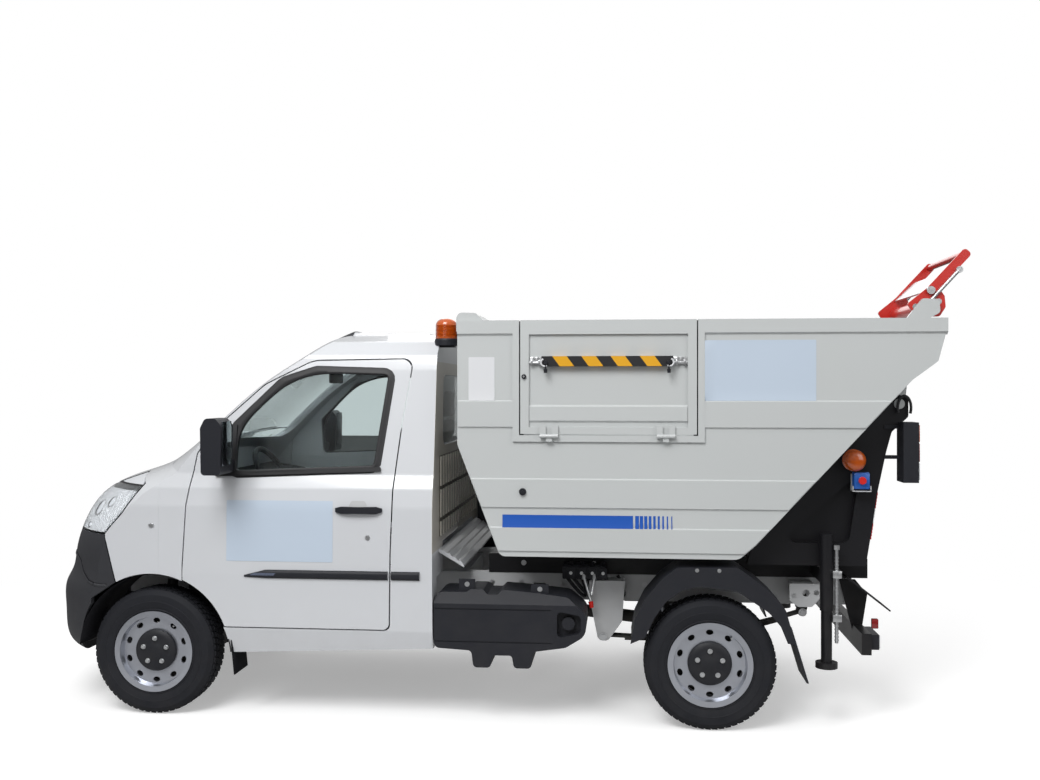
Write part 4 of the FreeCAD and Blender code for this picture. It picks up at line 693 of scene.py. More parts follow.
WAIST_RAIL = [(-1.352, 1.150, 0.004), (-0.545, 1.178, 0.004), (-0.545, 1.199, 0.004), (-1.262, 1.174, 0.004),
              (-1.340, 1.172, 0.004)]
SAIL_PLATE = [(-1.350, 1.160, 0.006), (-1.255, 1.160, 0.002), (-1.255, 1.398, 0.002), (-1.272, 1.392, 0.006),
              (-1.352, 1.235, 0.02)]
DOOR_SKINS = {side: surface_of("door_" + label) for label, side in SIDES}
CAB_SKIN = surface_of("cab_shell", "cab_floor")
for label, side in SIDES:
    door, skin = "door_" + label, DOOR_SKINS[side]
    settle("window_gasket_" + label, gasket_mesh(side, skin), rubber, door)
    for name, outline, lift in (("waist_rail_", WAIST_RAIL, 0.0075), ("sail_plate_", SAIL_PLATE, 0.0055)):
        laid(name + label, rounded_outline(outline, 3), skin, side, lift, 0.007, rubber, door,
             60)

# Door fittings
# A black moulding along each flank with a bright tip, a pull handle with its lock, and a blank panel
# of pale film on the door. A darker grey film above the handle is painted shade in its recess.
# The moulding goes on behind the door on the cab's rear corner.

black_plastic = finish("black_plastic", (0.012, 0.013, 0.018), drift=0.12, roughness=0.5, shine=0.35,
                       grain_scale=450, grain_depth=0.0006, dust_top=0.9, dust=0.04)
pale_film = finish("pale_film", (0.50, 0.58, 0.68), drift=0.015, roughness=0.35, tone_scale=2,
                   grain_scale=900, grain_depth=0.00002)
bright_trim = finish("bright_trim", (0.45, 0.52, 0.72), drift=0.05, roughness=0.15, metallic=0.9)
MOULDING = (0.675, 0.711)
MOULDING_TIP = [(-1.168, 0.687), (-1.050, 0.687), (-1.040, 0.699), (-1.146, 0.699)]
# The outline of a darker grey film above the handle: painted shade in the handle's recess.
HANDLE_SHADE_OUTLINE = [(-0.695, 1.012, 0.01), (-0.598, 1.012, 0.01), (-0.615, 1.042, 0.012), (-0.678, 1.042, 0.012)]
HANDLE_X, HANDLE_Z = -0.642, 0.999
LOCK_X, LOCK_Z = -0.600, 0.870
DOOR_FILM = (-1.284, -0.768, 0.752, 1.040)
FILM_LIFT, FILM_THICKNESS = 0.0007, 0.0005


def moulding_mesh(start, end, side, surface, taper=0.0):
    """A bar of half round section between two places along the flank, pointed in front if tapered."""
    bm = bmesh.new()
    low, high = MOULDING
    columns = max(4, int((end - start) / 0.02))
    bmesh.ops.create_grid(bm, x_segments=columns, y_segments=8, size=0.5)
    for vert in bm.verts:
        along, across = vert.co.x + 0.5, vert.co.y * 2
        x = start + (end - start) * along
        width = 1.0 if taper == 0 else min(1.0, 0.12 + (x - start) / taper)
        middle = low + (high - low) * (0.5 - 0.35 * (1 - width))
        rise = 0.009 * width * (1 - across ** 4) + 0.0008
        level = beside(surface, side, x, middle).y
        vert.co = Vector((x, level + side * rise, middle + across * width * (high - low) / 2))
    return bm


def handle_mesh(side, surface):
    """A pull handle: a bar that bows out between two feet."""
    bm = bmesh.new()
    level = beside(surface, side, -0.64, HANDLE_Z).y
    bmesh.ops.create_cube(bm, size=1.0)
    bmesh.ops.subdivide_edges(bm, edges=bm.edges, cuts=7, use_grid_fill=True)
    for vert in bm.verts:
        along, across, up = vert.co * 2
        edge = max(0.0, 1 - abs(along) ** 6) ** 0.5
        swell = 1 - along * along
        vert.co = Vector((HANDLE_X + along * 0.112,
                          level + side * (0.006 + 0.010 * swell + across * 0.007 * max(edge, 0.35)),
                          HANDLE_Z + up * (0.0205 - 0.005 * swell) * max(edge, 0.45)))
    for x in (HANDLE_X - 0.080, HANDLE_X + 0.080):
        level_rod(bm, (x, level - side * 0.004, HANDLE_Z), side * 0.016, 0.013, 0.011)
    return bm


for label, side in SIDES:
    door, skin = "door_" + label, DOOR_SKINS[side]
    for name, form, body in (
            ("door_moulding_", moulding_mesh(-1.196, -0.503, side, skin, 0.12), door),
            ("corner_moulding_", moulding_mesh(-0.486, -0.352, side, CAB_SKIN), "root")):
        backed(settle(name + label, form, black_plastic, body), 0.003)
    laid("moulding_tip_" + label, MOULDING_TIP, skin, side, 0.0112, 0.002, bright_trim, door)
    settle("door_handle_" + label, handle_mesh(side, skin), black_plastic, door, sharp=60)
    # Painted shade: a film in the darker frame grey stands for the shade in the recess above the handle.
    laid("handle_painted_shade_" + label, rounded_outline(HANDLE_SHADE_OUTLINE, 4), skin, side, 0.0008, FILM_THICKNESS,
         frame_paint, door)
    lock = bmesh.new()
    level = beside(skin, side, LOCK_X, LOCK_Z).y
    level_rod(lock, (LOCK_X, level - side * 0.002, LOCK_Z), side * 0.006, 0.0125, 0.0115)
    level_rod(lock, (LOCK_X, level, LOCK_Z), side * 0.006, 0.0075)
    settle("door_lock_" + label, lock, zinc_steel, door)
    laid("door_film_" + label, rectangle(*DOOR_FILM), skin, side, FILM_LIFT, FILM_THICKNESS, pale_film,
         door)

# Mirrors
# A moulded shell on a short foot at each door's front corner, with a silvered glass facing back.

dress(black_plastic, "mirror_left", "mirror_right")
silvered = bare_material("silvered_glass", {"Base Color": (0.16, 0.17, 0.19, 1.0), "Metallic": 1.0,
                                            "Roughness": 0.03})[0]
for label, side in SIDES:
    low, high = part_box("mirror_" + label)
    outer = max(side * low.y, side * high.y)
    pane = bmesh.new()
    side_block(pane, side, (high.x - 0.004, high.x + 0.0015), (outer - 0.125, outer - 0.012),
               (low.z + 0.045, high.z - 0.014), 0.001)
    settle("mirror_pane_" + label, pane, silvered, "door_" + label)

# Wipers
# Two wipers parked along the foot of the screen: an arm on a spindle and a rubber blade each.

screen_skin = surface_of("cab_glass")
SCREEN_FOOT_X, SCREEN_BOW, SCREEN_HALF = -1.545, 0.10, 0.65


def on_screen(y, lift):
    """A place near the screen's curved foot, lifted off the glass."""
    place, out = cast_down(screen_skin, SCREEN_FOOT_X + SCREEN_BOW * (y / SCREEN_HALF) ** 2, y)
    return place + out * lift


wipers = bmesh.new()
for start_y, end_y in ((-0.42, 0.12), (0.14, 0.62)):
    blade = [on_screen(start_y + (end_y - start_y) * number / 8, 0.006) for number in range(9)]
    tube(wipers, blade, 0.0035, 8)
    tube(wipers, [place + Vector((0.006, 0, 0.010)) for place in blade[2:7]], 0.0028, 8)
    foot = on_screen(start_y, 0.012)
    middle = on_screen((start_y + end_y) / 2, 0.018)
    rod(wipers, foot + Vector((-0.02, 0, -0.01)), middle, 0.007, 0.004, sides=12)
    rod(wipers, foot + Vector((-0.03, 0, -0.045)), foot + Vector((-0.02, 0, 0.006)), 0.013, sides=16)
settle("wipers", wipers, black_plastic, "root")

# Arch liners and flaps
# Black moulded liners over the front wheels, and a rubber flap behind each.

liner_plastic = finish("liner_plastic", (0.008, 0.008, 0.010), roughness=0.8, shine=0.15, grain_scale=200,
                       grain_depth=0.0008)
LINER_RADIUS = 0.372
FLAP_TOP = 0.372
liners = bmesh.new()
flaps = bmesh.new()
for _, side in SIDES:
    turns = [math.radians(8 + 168 * step / 40) for step in range(41)]
    skin_rows(liners, [[liners.verts.new((AXLE_X + LINER_RADIUS * math.cos(turn), side * y,
                                          AXLE_Z + LINER_RADIUS * math.sin(turn))) for turn in turns]
                       for y in (0.450, 0.788)])
    for vert in side_block(flaps, side, (-1.272, -1.265), (0.625, 0.800), (0.205, FLAP_TOP)):
        vert.co.x += 0.10 * (FLAP_TOP - vert.co.z)
    side_block(flaps, side, (-2.110, -1.985), (0.600, 0.604), (0.400, 0.700), 0.001)
walled(settle("arch_liners", liners, liner_plastic, "root"), 0.003, 0.0)
settle("front_flaps", flaps, liner_plastic, "root")

# Roof cover
# A low moulded cover over the roof's middle, with a black wind edge in front.

ROOF_Z = 1.80

def roof_level(x, y):
    """The height of the roof at a place seen from above."""
    place = cast_down(CAB_SKIN, x, y)[0]
    return place.z if place else ROOF_Z


def cover_mesh(start, end, half, foot, slope):
    """A shell over the roof between two stations. Its top starts at the height foot."""
    bm = bmesh.new()
    rows = []
    for step in range(17):
        x = start + (end - start) * step / 16
        row = []
        for number in range(15):
            across = -1 + 2 * number / 14
            base = roof_level(x, half * across)
            top = max(base + 0.002, foot + slope * (x - start))
            level = base + (top - base) * (1 - across ** 8) ** 0.5 + 0.002
            row.append(bm.verts.new((x, half * across, base - 0.004 if number in (0, 14) else level)))
        rows.append(row)
    skin_rows(bm, rows)
    for row in (rows[0], rows[-1]):
        skin_rows(bm, [row, [bm.verts.new((vert.co.x, vert.co.y, roof_level(*vert.co.xy) - 0.006))
                             for vert in row]])
    return bm


settle("roof_cover", cover_mesh(-0.800, -0.400, 0.34, 1.866, -0.07), cab_paint, "root", sharp=45)
settle("roof_cover_edge", cover_mesh(-0.905, -0.796, 0.345, 1.822, 0.046 / 0.105), black_plastic, "root",
       sharp=45)

# Mirror and visors inside
# A rear view mirror on a stalk under the screen's upper edge, and a folded sun visor on each side.

inner_fittings = bmesh.new()
block(inner_fittings, (-0.985, -0.115, 1.600), (-0.965, 0.115, 1.655), 0.008)
rod(inner_fittings, (-0.975, 0.0, 1.63), (-1.000, 0.0, 1.705), 0.008, sides=12)
settle("inner_mirror", inner_fittings, trim_plastic, "root")
visors = bmesh.new()
for _, side in SIDES:
    side_block(visors, side, (-0.975, -0.850), (0.16, 0.50), (1.700, 1.714), 0.005)
settle("sun_visors", visors, frame_paint, "root")

# Intake duct
# A ribbed air duct that rises behind the cab on the right, out of a black filter box.

DUCT_X, DUCT_Y = -0.240, 0.800
duct = bmesh.new()
block(duct, (-0.285, 0.655, 0.618), (-0.178, 0.778, 0.925), 0.010, 3)
rod(duct, (DUCT_X, DUCT_Y, 0.60), (DUCT_X, DUCT_Y, 1.30), 0.024)
for number in range(34):
    z = 0.62 + 0.02 * number
    rod(duct, (DUCT_X, DUCT_Y, z), (DUCT_X, DUCT_Y, z + 0.008), 0.0285)
block(duct, (-0.290, 0.785, 0.96), (DUCT_X, 0.815, 0.985), 0.002)
settle("intake_duct", duct, black_plastic, "root")

# Bonnet, bumper, grille and lamps
# The bumper is grained dark grey plastic, parted by a bead and a groove, with black frame horns and the
# radiator behind it. The headlamps are clear shells over a fluted reflector with three plated bowls.

bumper_plastic = finish("bumper_plastic", (0.028, 0.029, 0.034), drift=0.08, roughness=0.55, shine=0.4,
                        grain_scale=420, grain_depth=0.0008, dust_top=0.8, dust=0.05)
dress(bumper_plastic, "front_bumper")
dress(black_plastic, "front_grille", "radiator")
HORNS_BACK = -1.95
repaint(frame_paint, zone_mask(frame_paint.node_tree, ("X", HORNS_BACK, -1)), (0.012, 0.012, 0.014), 0.6)
bumper_skin = surface_of("front_bumper")
SEAM_FRONT_Z = 0.740
SEAM = [(-2.115, 0.738), (-2.070, 0.716), (-2.036, 0.668), (-1.985, 0.634), (-1.915, 0.622), (-1.872, 0.621)]
SEAM_END_RADIUS, SEAM_RADIUS, SEAM_SINK = 0.0085, 0.0120, 0.008
GROOVE_RISE, GROOVE_RADIUS = Vector((0, 0, 0.0085)), 0.0022
beads, grooves = bmesh.new(), bmesh.new()
for _, side in SIDES:
    hits = [cast(bumper_skin, (-4.0, side * (0.37 + 0.03 * step), SEAM_FRONT_Z), (1, 0, 0))
            for step in range(9)]
    for (x0, z0), (x1, z1) in zip(SEAM, SEAM[1:]):
        hits += [cast_level(bumper_skin, side, x0 + (x1 - x0) * step / 5, z0 + (z1 - z0) * step / 5)
                 for step in range(5)]
    radii = [SEAM_END_RADIUS] + [SEAM_RADIUS] * (len(hits) - 2) + [SEAM_END_RADIUS]
    sunk = [place - out * SEAM_SINK for place, out in hits]
    for ends in zip(sunk, sunk[1:], radii, radii[1:]):
        rod(beads, *ends, sides=32)
    tube(grooves, [place + GROOVE_RISE for place, _ in hits], GROOVE_RADIUS)
settle("bumper_beads", beads, bumper_plastic, "root", sharp=60)
settle("bumper_grooves", grooves, liner_plastic, "root")
BAFFLE_X = (-2.064, -2.060)
baffle = bmesh.new()
for y0, y1, z0, z1 in ((-0.580, 0.580, 0.340, 0.495), (-0.385, 0.385, 0.495, 0.600),
                       (-0.580, -0.445, 0.495, 0.600), (0.445, 0.580, 0.495, 0.600)):
    block(baffle, (BAFFLE_X[0], y0, z0), (BAFFLE_X[1], y1, z1), 0.001)
settle("radiator_baffle", baffle, liner_plastic, "root")
corners = bmesh.new()
for _, side in SIDES:
    for vert in side_block(corners, side, (-1.532, -1.505), (0.8180, 0.8198), (0.652, 0.736), 0.0):
        if vert.co.x < -1.52 and vert.co.z < 0.70:
            vert.co.z = 0.663
settle("wing_corners", corners, cab_paint, "root")

lamp_lens, tree, shader = bare_material("lamp_lens", {"IOR": 1.25})
LENS_TOP, HOUSING_FOOT = 1.104, 1.072
lens = [(0.93, 0.95, 0.97), 1.0, 0.02]
for level, painted in ((LENS_TOP - 0.006, [(0.02, 0.02, 0.022), 0.0, 0.5]),
                       (LENS_TOP, [CAB_COLOUR, 0.0, 0.32])):
    above = zone_mask(tree, ("Z", level, 1))
    lens = [mixed(tree, above, under, over, kind)
            for under, over, kind in zip(lens, painted, ("RGBA", "FLOAT", "FLOAT"))]
feed(tree, shader, dict(zip(("Base Color", "Transmission Weight", "Roughness"), lens)))


def flute(material, pitch, depth):
    """Presses upright flutes into a finish, a pitch apart."""
    tree, shader = material.node_tree, shader_of(material)
    wave = node(tree, "TexWave", {"Scale": math.pi / (10 * pitch), "Vector": object_place(tree)})
    bump = node(tree, "Bump", {"Distance": depth, "Height": wave.outputs["Fac"],
                               "Normal": shader.inputs["Normal"].links[0].from_socket})
    feed(tree, shader, {"Normal": bump.outputs["Normal"]})


reflector = finish("lamp_reflector", (0.86, 0.88, 0.90), drift=0.05, roughness=0.20, spread=0.03,
                   metallic=0.7, tone_scale=30)
flute(reflector, 0.014, 0.0012)
repaint(reflector, zone_mask(reflector.node_tree, ("Z", HOUSING_FOOT, 1)), (0.16, 0.165, 0.17), 0.35)
chrome = finish("lamp_chrome", (0.80, 0.82, 0.85), drift=0.03, roughness=0.08, spread=0.02, metallic=0.95)
REFLECTOR_INSET = 0.0065
BOWL_DEPTH = 0.005


def shrunk(name, inset):
    """A copy of a CAD node's mesh drawn in along its own normals."""
    bm = bmesh.new()
    bm.from_mesh(nodes[name].data)
    bmesh.ops.remove_doubles(bm, verts=bm.verts, dist=0.0002)
    bmesh.ops.recalc_face_normals(bm, faces=bm.faces)
    bm.normal_update()
    for vert in bm.verts:
        vert.co -= vert.normal * inset
    return bm


dress(lamp_lens, "headlamps")
settle("headlamp_reflectors", shrunk("headlamps", REFLECTOR_INSET), reflector, "root", sharp=25)
bowls, bezels = bmesh.new(), bmesh.new()
lamp_skin = surface_of("headlamps")
for _, side in SIDES:
    for x, z, radius in ((-1.990, 0.985, 0.046), (-1.905, 1.018, 0.032), (-2.040, 0.898, 0.020)):
        place, out = cast_level(lamp_skin, side, x, z)
        place = place - out * REFLECTOR_INSET
        rod(bezels, place - out * 0.004, place + out * 0.0016, radius, radius * 0.97, sides=48)
        turn = out.to_track_quat("Z", "Y").to_matrix().to_4x4()
        flat = Matrix.Diagonal((1, 1, BOWL_DEPTH / (radius * 0.9), 1))
        bmesh.ops.create_uvsphere(bowls, u_segments=48, v_segments=24, radius=radius * 0.9,
                                  matrix=Matrix.Translation(place) @ turn @ flat)
settle("headlamp_bezels", bezels, zinc_steel, "root")
settle("headlamp_bowls", bowls, chrome, "root", sharp=80)
INDICATOR_X, INDICATOR_Z = -1.656, 0.916
wing_skin = surface_of("front_wings")
indicator = bmesh.new()
for _, side in SIDES:
    level = beside(wing_skin, side, INDICATOR_X, INDICATOR_Z).y
    made = level_rod(indicator, (INDICATOR_X, level - side * 0.003, INDICATOR_Z), side * 0.010, 0.013, 0.010)
    bmesh.ops.scale(indicator, vec=(1.25, 1, 0.8), verts=made,
                    space=Matrix.Translation((-INDICATOR_X, 0, -INDICATOR_Z)))
settle("wing_indicators", indicator, zinc_steel, "root")

# Tipper subframe, rear tower and stabilisers
# Box beams on the rails, a plate tower that carries the tub's pivot, and two screw-down legs.
# Shot blasted and painted satin black; the legs' screws are zinc plated.

black_paint = finish("black_paint", (0.009, 0.009, 0.011), drift=0.15, roughness=0.38, coat=0.1, shine=0.3,
                     tone_scale=5, grain_scale=300, grain_depth=0.0002, dust_top=0.9, dust=0.06)
dress(black_paint, "tipper_subframe", "rear_tower", "rear_underrun", "tip_barrel", "stabiliser_leg_left",
      "stabiliser_leg_right")
dress(zinc_steel, "tip_stage_lower", "tip_stage_upper", "tip_rod")
red_tape = finish("red_tape", (0.45, 0.012, 0.015), roughness=0.25, coat=0.5, grain_depth=0.00002)
silver_tape = finish("silver_tape", (0.75, 0.76, 0.78), roughness=0.3, coat=0.5, grain_depth=0.00002)
TOWER_EDGE = [(0.760, 1.7225), (0.902, 1.7445), (1.087, 1.7705), (1.277, 1.8100)]
JACK_X, JACK_Y = 1.572, 0.710


def tower_edge(z):
    """How far back the tower's rear edge reaches at a height."""
    for (z0, x0), (z1, x1) in zip(TOWER_EDGE, TOWER_EDGE[1:]):
        if z <= z1:
            return x0 + (x1 - x0) * (z - z0) / (z1 - z0)
    return TOWER_EDGE[-1][1]


jack_screws, red_bands, white_bands = bmesh.new(), bmesh.new(), bmesh.new()
for _, side in SIDES:
    y = side * JACK_Y
    rod(jack_screws, (JACK_X, y, 0.40), (JACK_X, y, 0.83), 0.008, sides=16)
    for number in range(24):
        z = 0.41 + number * 0.0165
        rod(jack_screws, (JACK_X, y, z), (JACK_X, y, z + 0.006), 0.0098, sides=16)
    for z in (0.50, 0.700):
        block(jack_screws, (JACK_X - 0.020, y - 0.022, z), (JACK_X + 0.020, y + 0.022, z + 0.034), 0.003)
    rod(jack_screws, (JACK_X, y, 0.83), (JACK_X, y, 0.85), 0.014, sides=6)
    for low, high, form in ((0.870, 0.945, red_bands), (0.945, 1.015, white_bands),
                            (1.015, 1.090, red_bands)):
        for step in range(5):
            z0, z1 = [low + (high - low) * number / 5 for number in (step, step + 1)]
            x = (tower_edge(z0) + tower_edge(z1)) / 2
            side_block(form, side, (x - 0.004, x + 0.0015), (0.601, 0.645), (z0, z1 + 0.0004), 0.0)
settle("jack_screws", jack_screws, zinc_steel, "root")
settle("tower_red_tape", red_bands, red_tape, "root")
settle("tower_white_tape", white_bands, silver_tape, "root")

# Tanks and mudguards
# Moulded polyethylene tanks between the axles and rolled plastic guards over the rear wheels.
# The chassis bolts are set here too: distance from the middle, head radius and height, places in X and Z.

dress(black_plastic, "side_tanks", "rear_mudguards")
CHASSIS_BOLTS = (
    (0.7485, 0.008, 0.006, [(-0.138, 0.648), (0.206, 0.630)]),
    (0.534, 0.013, 0.009, [(0.498, 0.365)]),
    (0.523, 0.013, 0.009, [(1.445, 0.600), (1.450, 0.500)]),
    (0.545, 0.008, 0.006, [(1.405, 0.585), (1.510, 0.600)]),
    (0.4175, 0.009, 0.006, [(x, 0.60) for x in (-0.20, -0.06, 0.09, 0.30, 0.70, 0.82, 1.25, 1.62)]),
    (0.4205, 0.009, 0.006, [(x, 0.70) for x in (0.10, 0.45, 0.85, 1.15)]),
    (0.8205, 0.006, 0.006, [(0.93, 0.742), (1.03, 0.742)]),
)
chassis_bolts = bmesh.new()
for _, side in SIDES:
    for y, radius, height, places in CHASSIS_BOLTS:
        bolts(chassis_bolts, [(x, side * y, z) for x, z in places], (0, side, 0), radius, height)
settle("chassis_bolts", chassis_bolts, zinc_steel, "root")

# Tub
# Folded sheet steel with pressed ribs, a top rail and a drop flap, sprayed light grey.
# A blue stripe and two sheets of blank film lie on its left side.

tub_paint = finish("tub_paint", (0.52, 0.54, 0.54), drift=0.02, roughness=0.36, coat=0.4, tone_scale=2,
                   grain_scale=900, grain_depth=0.00004, dust_top=1.0, dust=0.12)
dress(tub_paint, "tub_wrap", "tub_side_left", "tub_side_right", "side_flap")
blue_film = finish("blue_film", (0.015, 0.09, 0.42), drift=0.03, roughness=0.3, grain_depth=0.00002)
white_film = finish("white_film", (0.68, 0.69, 0.71), drift=0.01, roughness=0.35, grain_depth=0.00002)
tub_skin = surface_of("tub_side_left")
STRIPE_LOW, STRIPE_HIGH = 0.927, 0.986
STRIPE_BARS = [(0.037, 0.640)] + [(0.650 + 0.0205 * n, 0.667 + 0.0189 * n) for n in range(9)]
stripe = bmesh.new()
for start, end in STRIPE_BARS:
    sheet_on(stripe, [(start, STRIPE_LOW), (end, STRIPE_LOW), (end, STRIPE_HIGH), (start, STRIPE_HIGH)],
             tub_skin, -1, FILM_LIFT)
backed(settle("tub_stripe", stripe, blue_film, "tub"), FILM_THICKNESS)
for name, box, film in (("tub_film", (0.965, 1.462, 1.515, 1.791), pale_film),
                        ("sign_film", (-0.122, 0.0, 1.515, 1.717), white_film)):
    laid(name, rectangle(*box), tub_skin, -1, FILM_LIFT, FILM_THICKNESS, film, "tub")

# Side flap
# A framed panel with one pressed rib, a safety bar across it that is taped in yellow and black, and a
# sliding bolt at each end.

FLAP_FACE, RECESS_FACE, BAR_FACE = -0.824, -0.812, -0.8445
RIB_MIDDLE = 1.455
rib = bmesh.new()
for vert in block(rib, (0.163, RECESS_FACE - 0.0085, 1.412), (0.887, RECESS_FACE + 0.002, 1.498), 0.0):
    if vert.co.y < RECESS_FACE:
        vert.co.z = RIB_MIDDLE + (vert.co.z - RIB_MIDDLE) * 0.74
settle("flap_rib", rib, tub_paint, "side_flap", sharp=20)
BAR = (0.221, 0.821, 1.673, 1.719)
TAPES, TAPE_LEAN, TAPE_THICKNESS = 9, 0.034, 0.0007
hazard_yellow = finish("hazard_yellow", (0.72, 0.36, 0.012), drift=0.04, roughness=0.35, coat=0.3,
                       grain_depth=0.00003)
hazard_black = finish("hazard_black", (0.018, 0.018, 0.02), roughness=0.35, coat=0.3, grain_depth=0.00003)
tapes = {"yellow": bmesh.new(), "black": bmesh.new()}
x0, x1, z0, z1 = BAR
pitch = (x1 - x0) / TAPES
for number in range(TAPES):
    tape = tapes["yellow" if number % 2 else "black"]
    left, right = x0 + number * pitch, x0 + (number + 1) * pitch
    near = 0 if number == 0 else TAPE_LEAN / 2
    far = 0 if number == TAPES - 1 else TAPE_LEAN / 2
    corners = [(left + near, z0), (right + far, z0), (right - far, z1), (left - near, z1)]
    rows = [[tape.verts.new((x, y, z)) for x, z in corners] for y in (BAR_FACE, BAR_FACE + TAPE_THICKNESS)]
    tape.faces.new(rows[0])
    skin_rows(tape, rows, closed=True)
    for (start, _), (end, _), level in ((*corners[:2], z0 - TAPE_THICKNESS),
                                        (*corners[2:], z1 + TAPE_THICKNESS)):
        tape.faces.new([tape.verts.new((x, y, level)) for x, y in (
            (start, BAR_FACE), (end, BAR_FACE), (end, FLAP_FACE + 0.010), (start, FLAP_FACE + 0.010))])
settle("flap_tape_yellow", tapes["yellow"], hazard_yellow, "side_flap")
settle("flap_tape_black", tapes["black"], hazard_black, "side_flap")
BOLT_Z = 1.690
PLATE_FACE = -0.8155
RING_RADIUS, RING_Y = 0.017, BAR_FACE - 0.006
PEG_X, PEG_Z = 0.138, 1.626
flap_zinc, flap_white, flap_black = bmesh.new(), bmesh.new(), bmesh.new()
for way, x_end, x_hook in ((-1, 0.165, 0.236), (1, 0.885, 0.806)):
    x_in = x_end - way * 0.062
    block(flap_zinc, (min(x_end, x_in), PLATE_FACE, 1.676), (max(x_end, x_in), RECESS_FACE, 1.716), 0.001)
    rod(flap_zinc, (x_end, FLAP_FACE, BOLT_Z), (x_hook, FLAP_FACE, BOLT_Z), 0.0065, sides=20)
    for x in (x_end - way * 0.010, x_end - way * 0.046):
        block(flap_zinc, (x - 0.006, -0.8330, 1.679), (x + 0.006, RECESS_FACE, 1.702), 0.0015)
    bolts(flap_zinc, [(x_end - way * reach, PLATE_FACE, 1.709) for reach in (0.020, 0.040)], (0, -1, 0),
          0.0045, 0.004)
    turns = [math.radians(20 + 200 * step / 9) for step in range(10)]
    tube(flap_white, [(x_hook + way * RING_RADIUS * math.sin(turn), RING_Y,
                       BOLT_Z + RING_RADIUS * math.cos(turn)) for turn in turns], 0.0042)
    level_rod(flap_black, (x_hook - way * 0.006, BAR_FACE - 0.004, BOLT_Z), -0.014, 0.010, 0.008)
    x = x_hook - way * 0.004
    rod(flap_black, (x, RING_Y, BOLT_Z), (x, RING_Y, 1.655), 0.0045, sides=12)
    rod(flap_black, (x, RING_Y, 1.660), (x, RING_Y, 1.642), 0.0090, 0.0075)
level_rod(flap_black, (PEG_X, FLAP_FACE + 0.001, PEG_Z), -0.011, 0.0115, 0.0100)
level_rod(flap_zinc, (PEG_X, FLAP_FACE - 0.0095, PEG_Z), -0.0025, 0.0045, sides=16)
settle("flap_bolts", flap_zinc, zinc_steel, "side_flap")
settle("flap_rings", flap_white, white_film, "side_flap")
settle("flap_knobs", flap_black, black_plastic, "side_flap")
seals = bmesh.new()
for x in (0.106, 0.916):
    block(seals, (x, -0.7945, 1.350), (x + 0.028, -0.7905, 1.884), 0.001)
settle("flap_seals", seals, rubber, "tub")
KNOB_X, KNOB_Z = 0.132, 1.093
tub_knob = bmesh.new()
level = beside(tub_skin, -1, KNOB_X, KNOB_Z).y
level_rod(tub_knob, (KNOB_X, level + 0.001, KNOB_Z), -0.013, 0.0175, 0.0150)
level_rod(tub_knob, (KNOB_X, level - 0.0115, KNOB_Z), -0.005, 0.0070, sides=16)
settle("tub_knob", tub_knob, black_plastic, "tub")

# Bin lifter
# Welded arms and cross tube in red gloss paint, with a plated comb and a plated rod beside each arm.

lifter_paint = finish("lifter_paint", (0.56, 0.022, 0.014), drift=0.05, roughness=0.3, coat=0.5,
                      grain_scale=700, grain_depth=0.00004)
dress(lifter_paint, "lifter_frame")
dress(zinc_steel, "lifter_comb")
lifter_rods = bmesh.new()
for _, side in SIDES:
    rod(lifter_rods, (2.055, side * 0.322, 1.955), (2.236, side * 0.322, 2.155), 0.009, sides=20)
    level_rod(lifter_rods, (2.100, side * 0.316, 2.055), side * 0.014, 0.020)
    level_rod(lifter_rods, (2.236, side * 0.310, 2.155), side * 0.020, 0.016)
    bolts(lifter_rods, [(2.030, side * 0.312, 1.975), (2.140, side * 0.312, 2.000)], (0, side, 0), 0.010,
          0.007)
settle("lifter_rods", lifter_rods, zinc_steel, "lifter")

# Lamps, beacons and controls
# Amber beacons on black feet, lamp boxes at the rear, and a blue stop box with a red button.

amber_lens = finish("amber_lens", (0.50, 0.085, 0.004), roughness=0.15, coat=0.8)
tail_lens = finish("tail_lens", (0.22, 0.006, 0.006), roughness=0.15, coat=0.8)
control_blue = finish("control_paint", (0.012, 0.10, 0.42), roughness=0.4, coat=0.3)
button_red = finish("button_red", (0.62, 0.02, 0.015), roughness=0.25, coat=0.6)
dress(black_plastic, "tail_lamps")


def beacon_dome(bm, base, up, radius, height, sides=64):
    """A fluted lens turned about the line from base along up."""
    turn = Vector(up).to_track_quat("Z", "Y").to_matrix()
    rings = []
    for step in range(33):
        t = step / 32
        ripple = 0.0022 * (1 if step % 2 else -1) if 2 < step < 22 else 0.0
        squeeze = max(0.0, (t - 0.62) / 0.38)
        reach = max(0.0, (radius * (1 - 0.04 * t)) * (1 - squeeze ** 2.4) ** 0.5 + ripple)
        angles = [2 * math.pi * number / sides for number in range(sides)]
        rings.append([bm.verts.new(Vector(base) + turn @ Vector((
            reach * math.cos(angle), reach * math.sin(angle), height * t))) for angle in angles])
    skin_rows(bm, rings, closed=True)
    bm.faces.new(rings[0][::-1])
    bmesh.ops.remove_doubles(bm, verts=bm.verts, dist=0.00005)


domes, feet = bmesh.new(), bmesh.new()
beacon_dome(domes, (-0.262, -0.590, 1.812), (0, 0, 1), 0.0545, 0.103)
block(feet, (-0.293, -0.620, 1.772), (-0.222, -0.560, 1.781), 0.001)
rod(feet, (-0.262, -0.590, 1.780), (-0.262, -0.590, 1.806), 0.0585, sides=64)
rod(feet, (-0.262, -0.590, 1.806), (-0.262, -0.590, 1.814), 0.0585, 0.0550, sides=64)
beacon_dome(domes, (1.655, -0.662, 1.240), (0, -1, 0), 0.0480, 0.074)
level_rod(feet, (1.655, -0.646, 1.240), -0.018, 0.0500, sides=64)
for name, form, material, slot in (("beacon_domes", domes, amber_lens, "amber_lens"),
                                   ("beacon_feet", feet, black_plastic, "black_plastic")):
    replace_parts(settle(name, form, material, "root", sharp=50), "beacons")

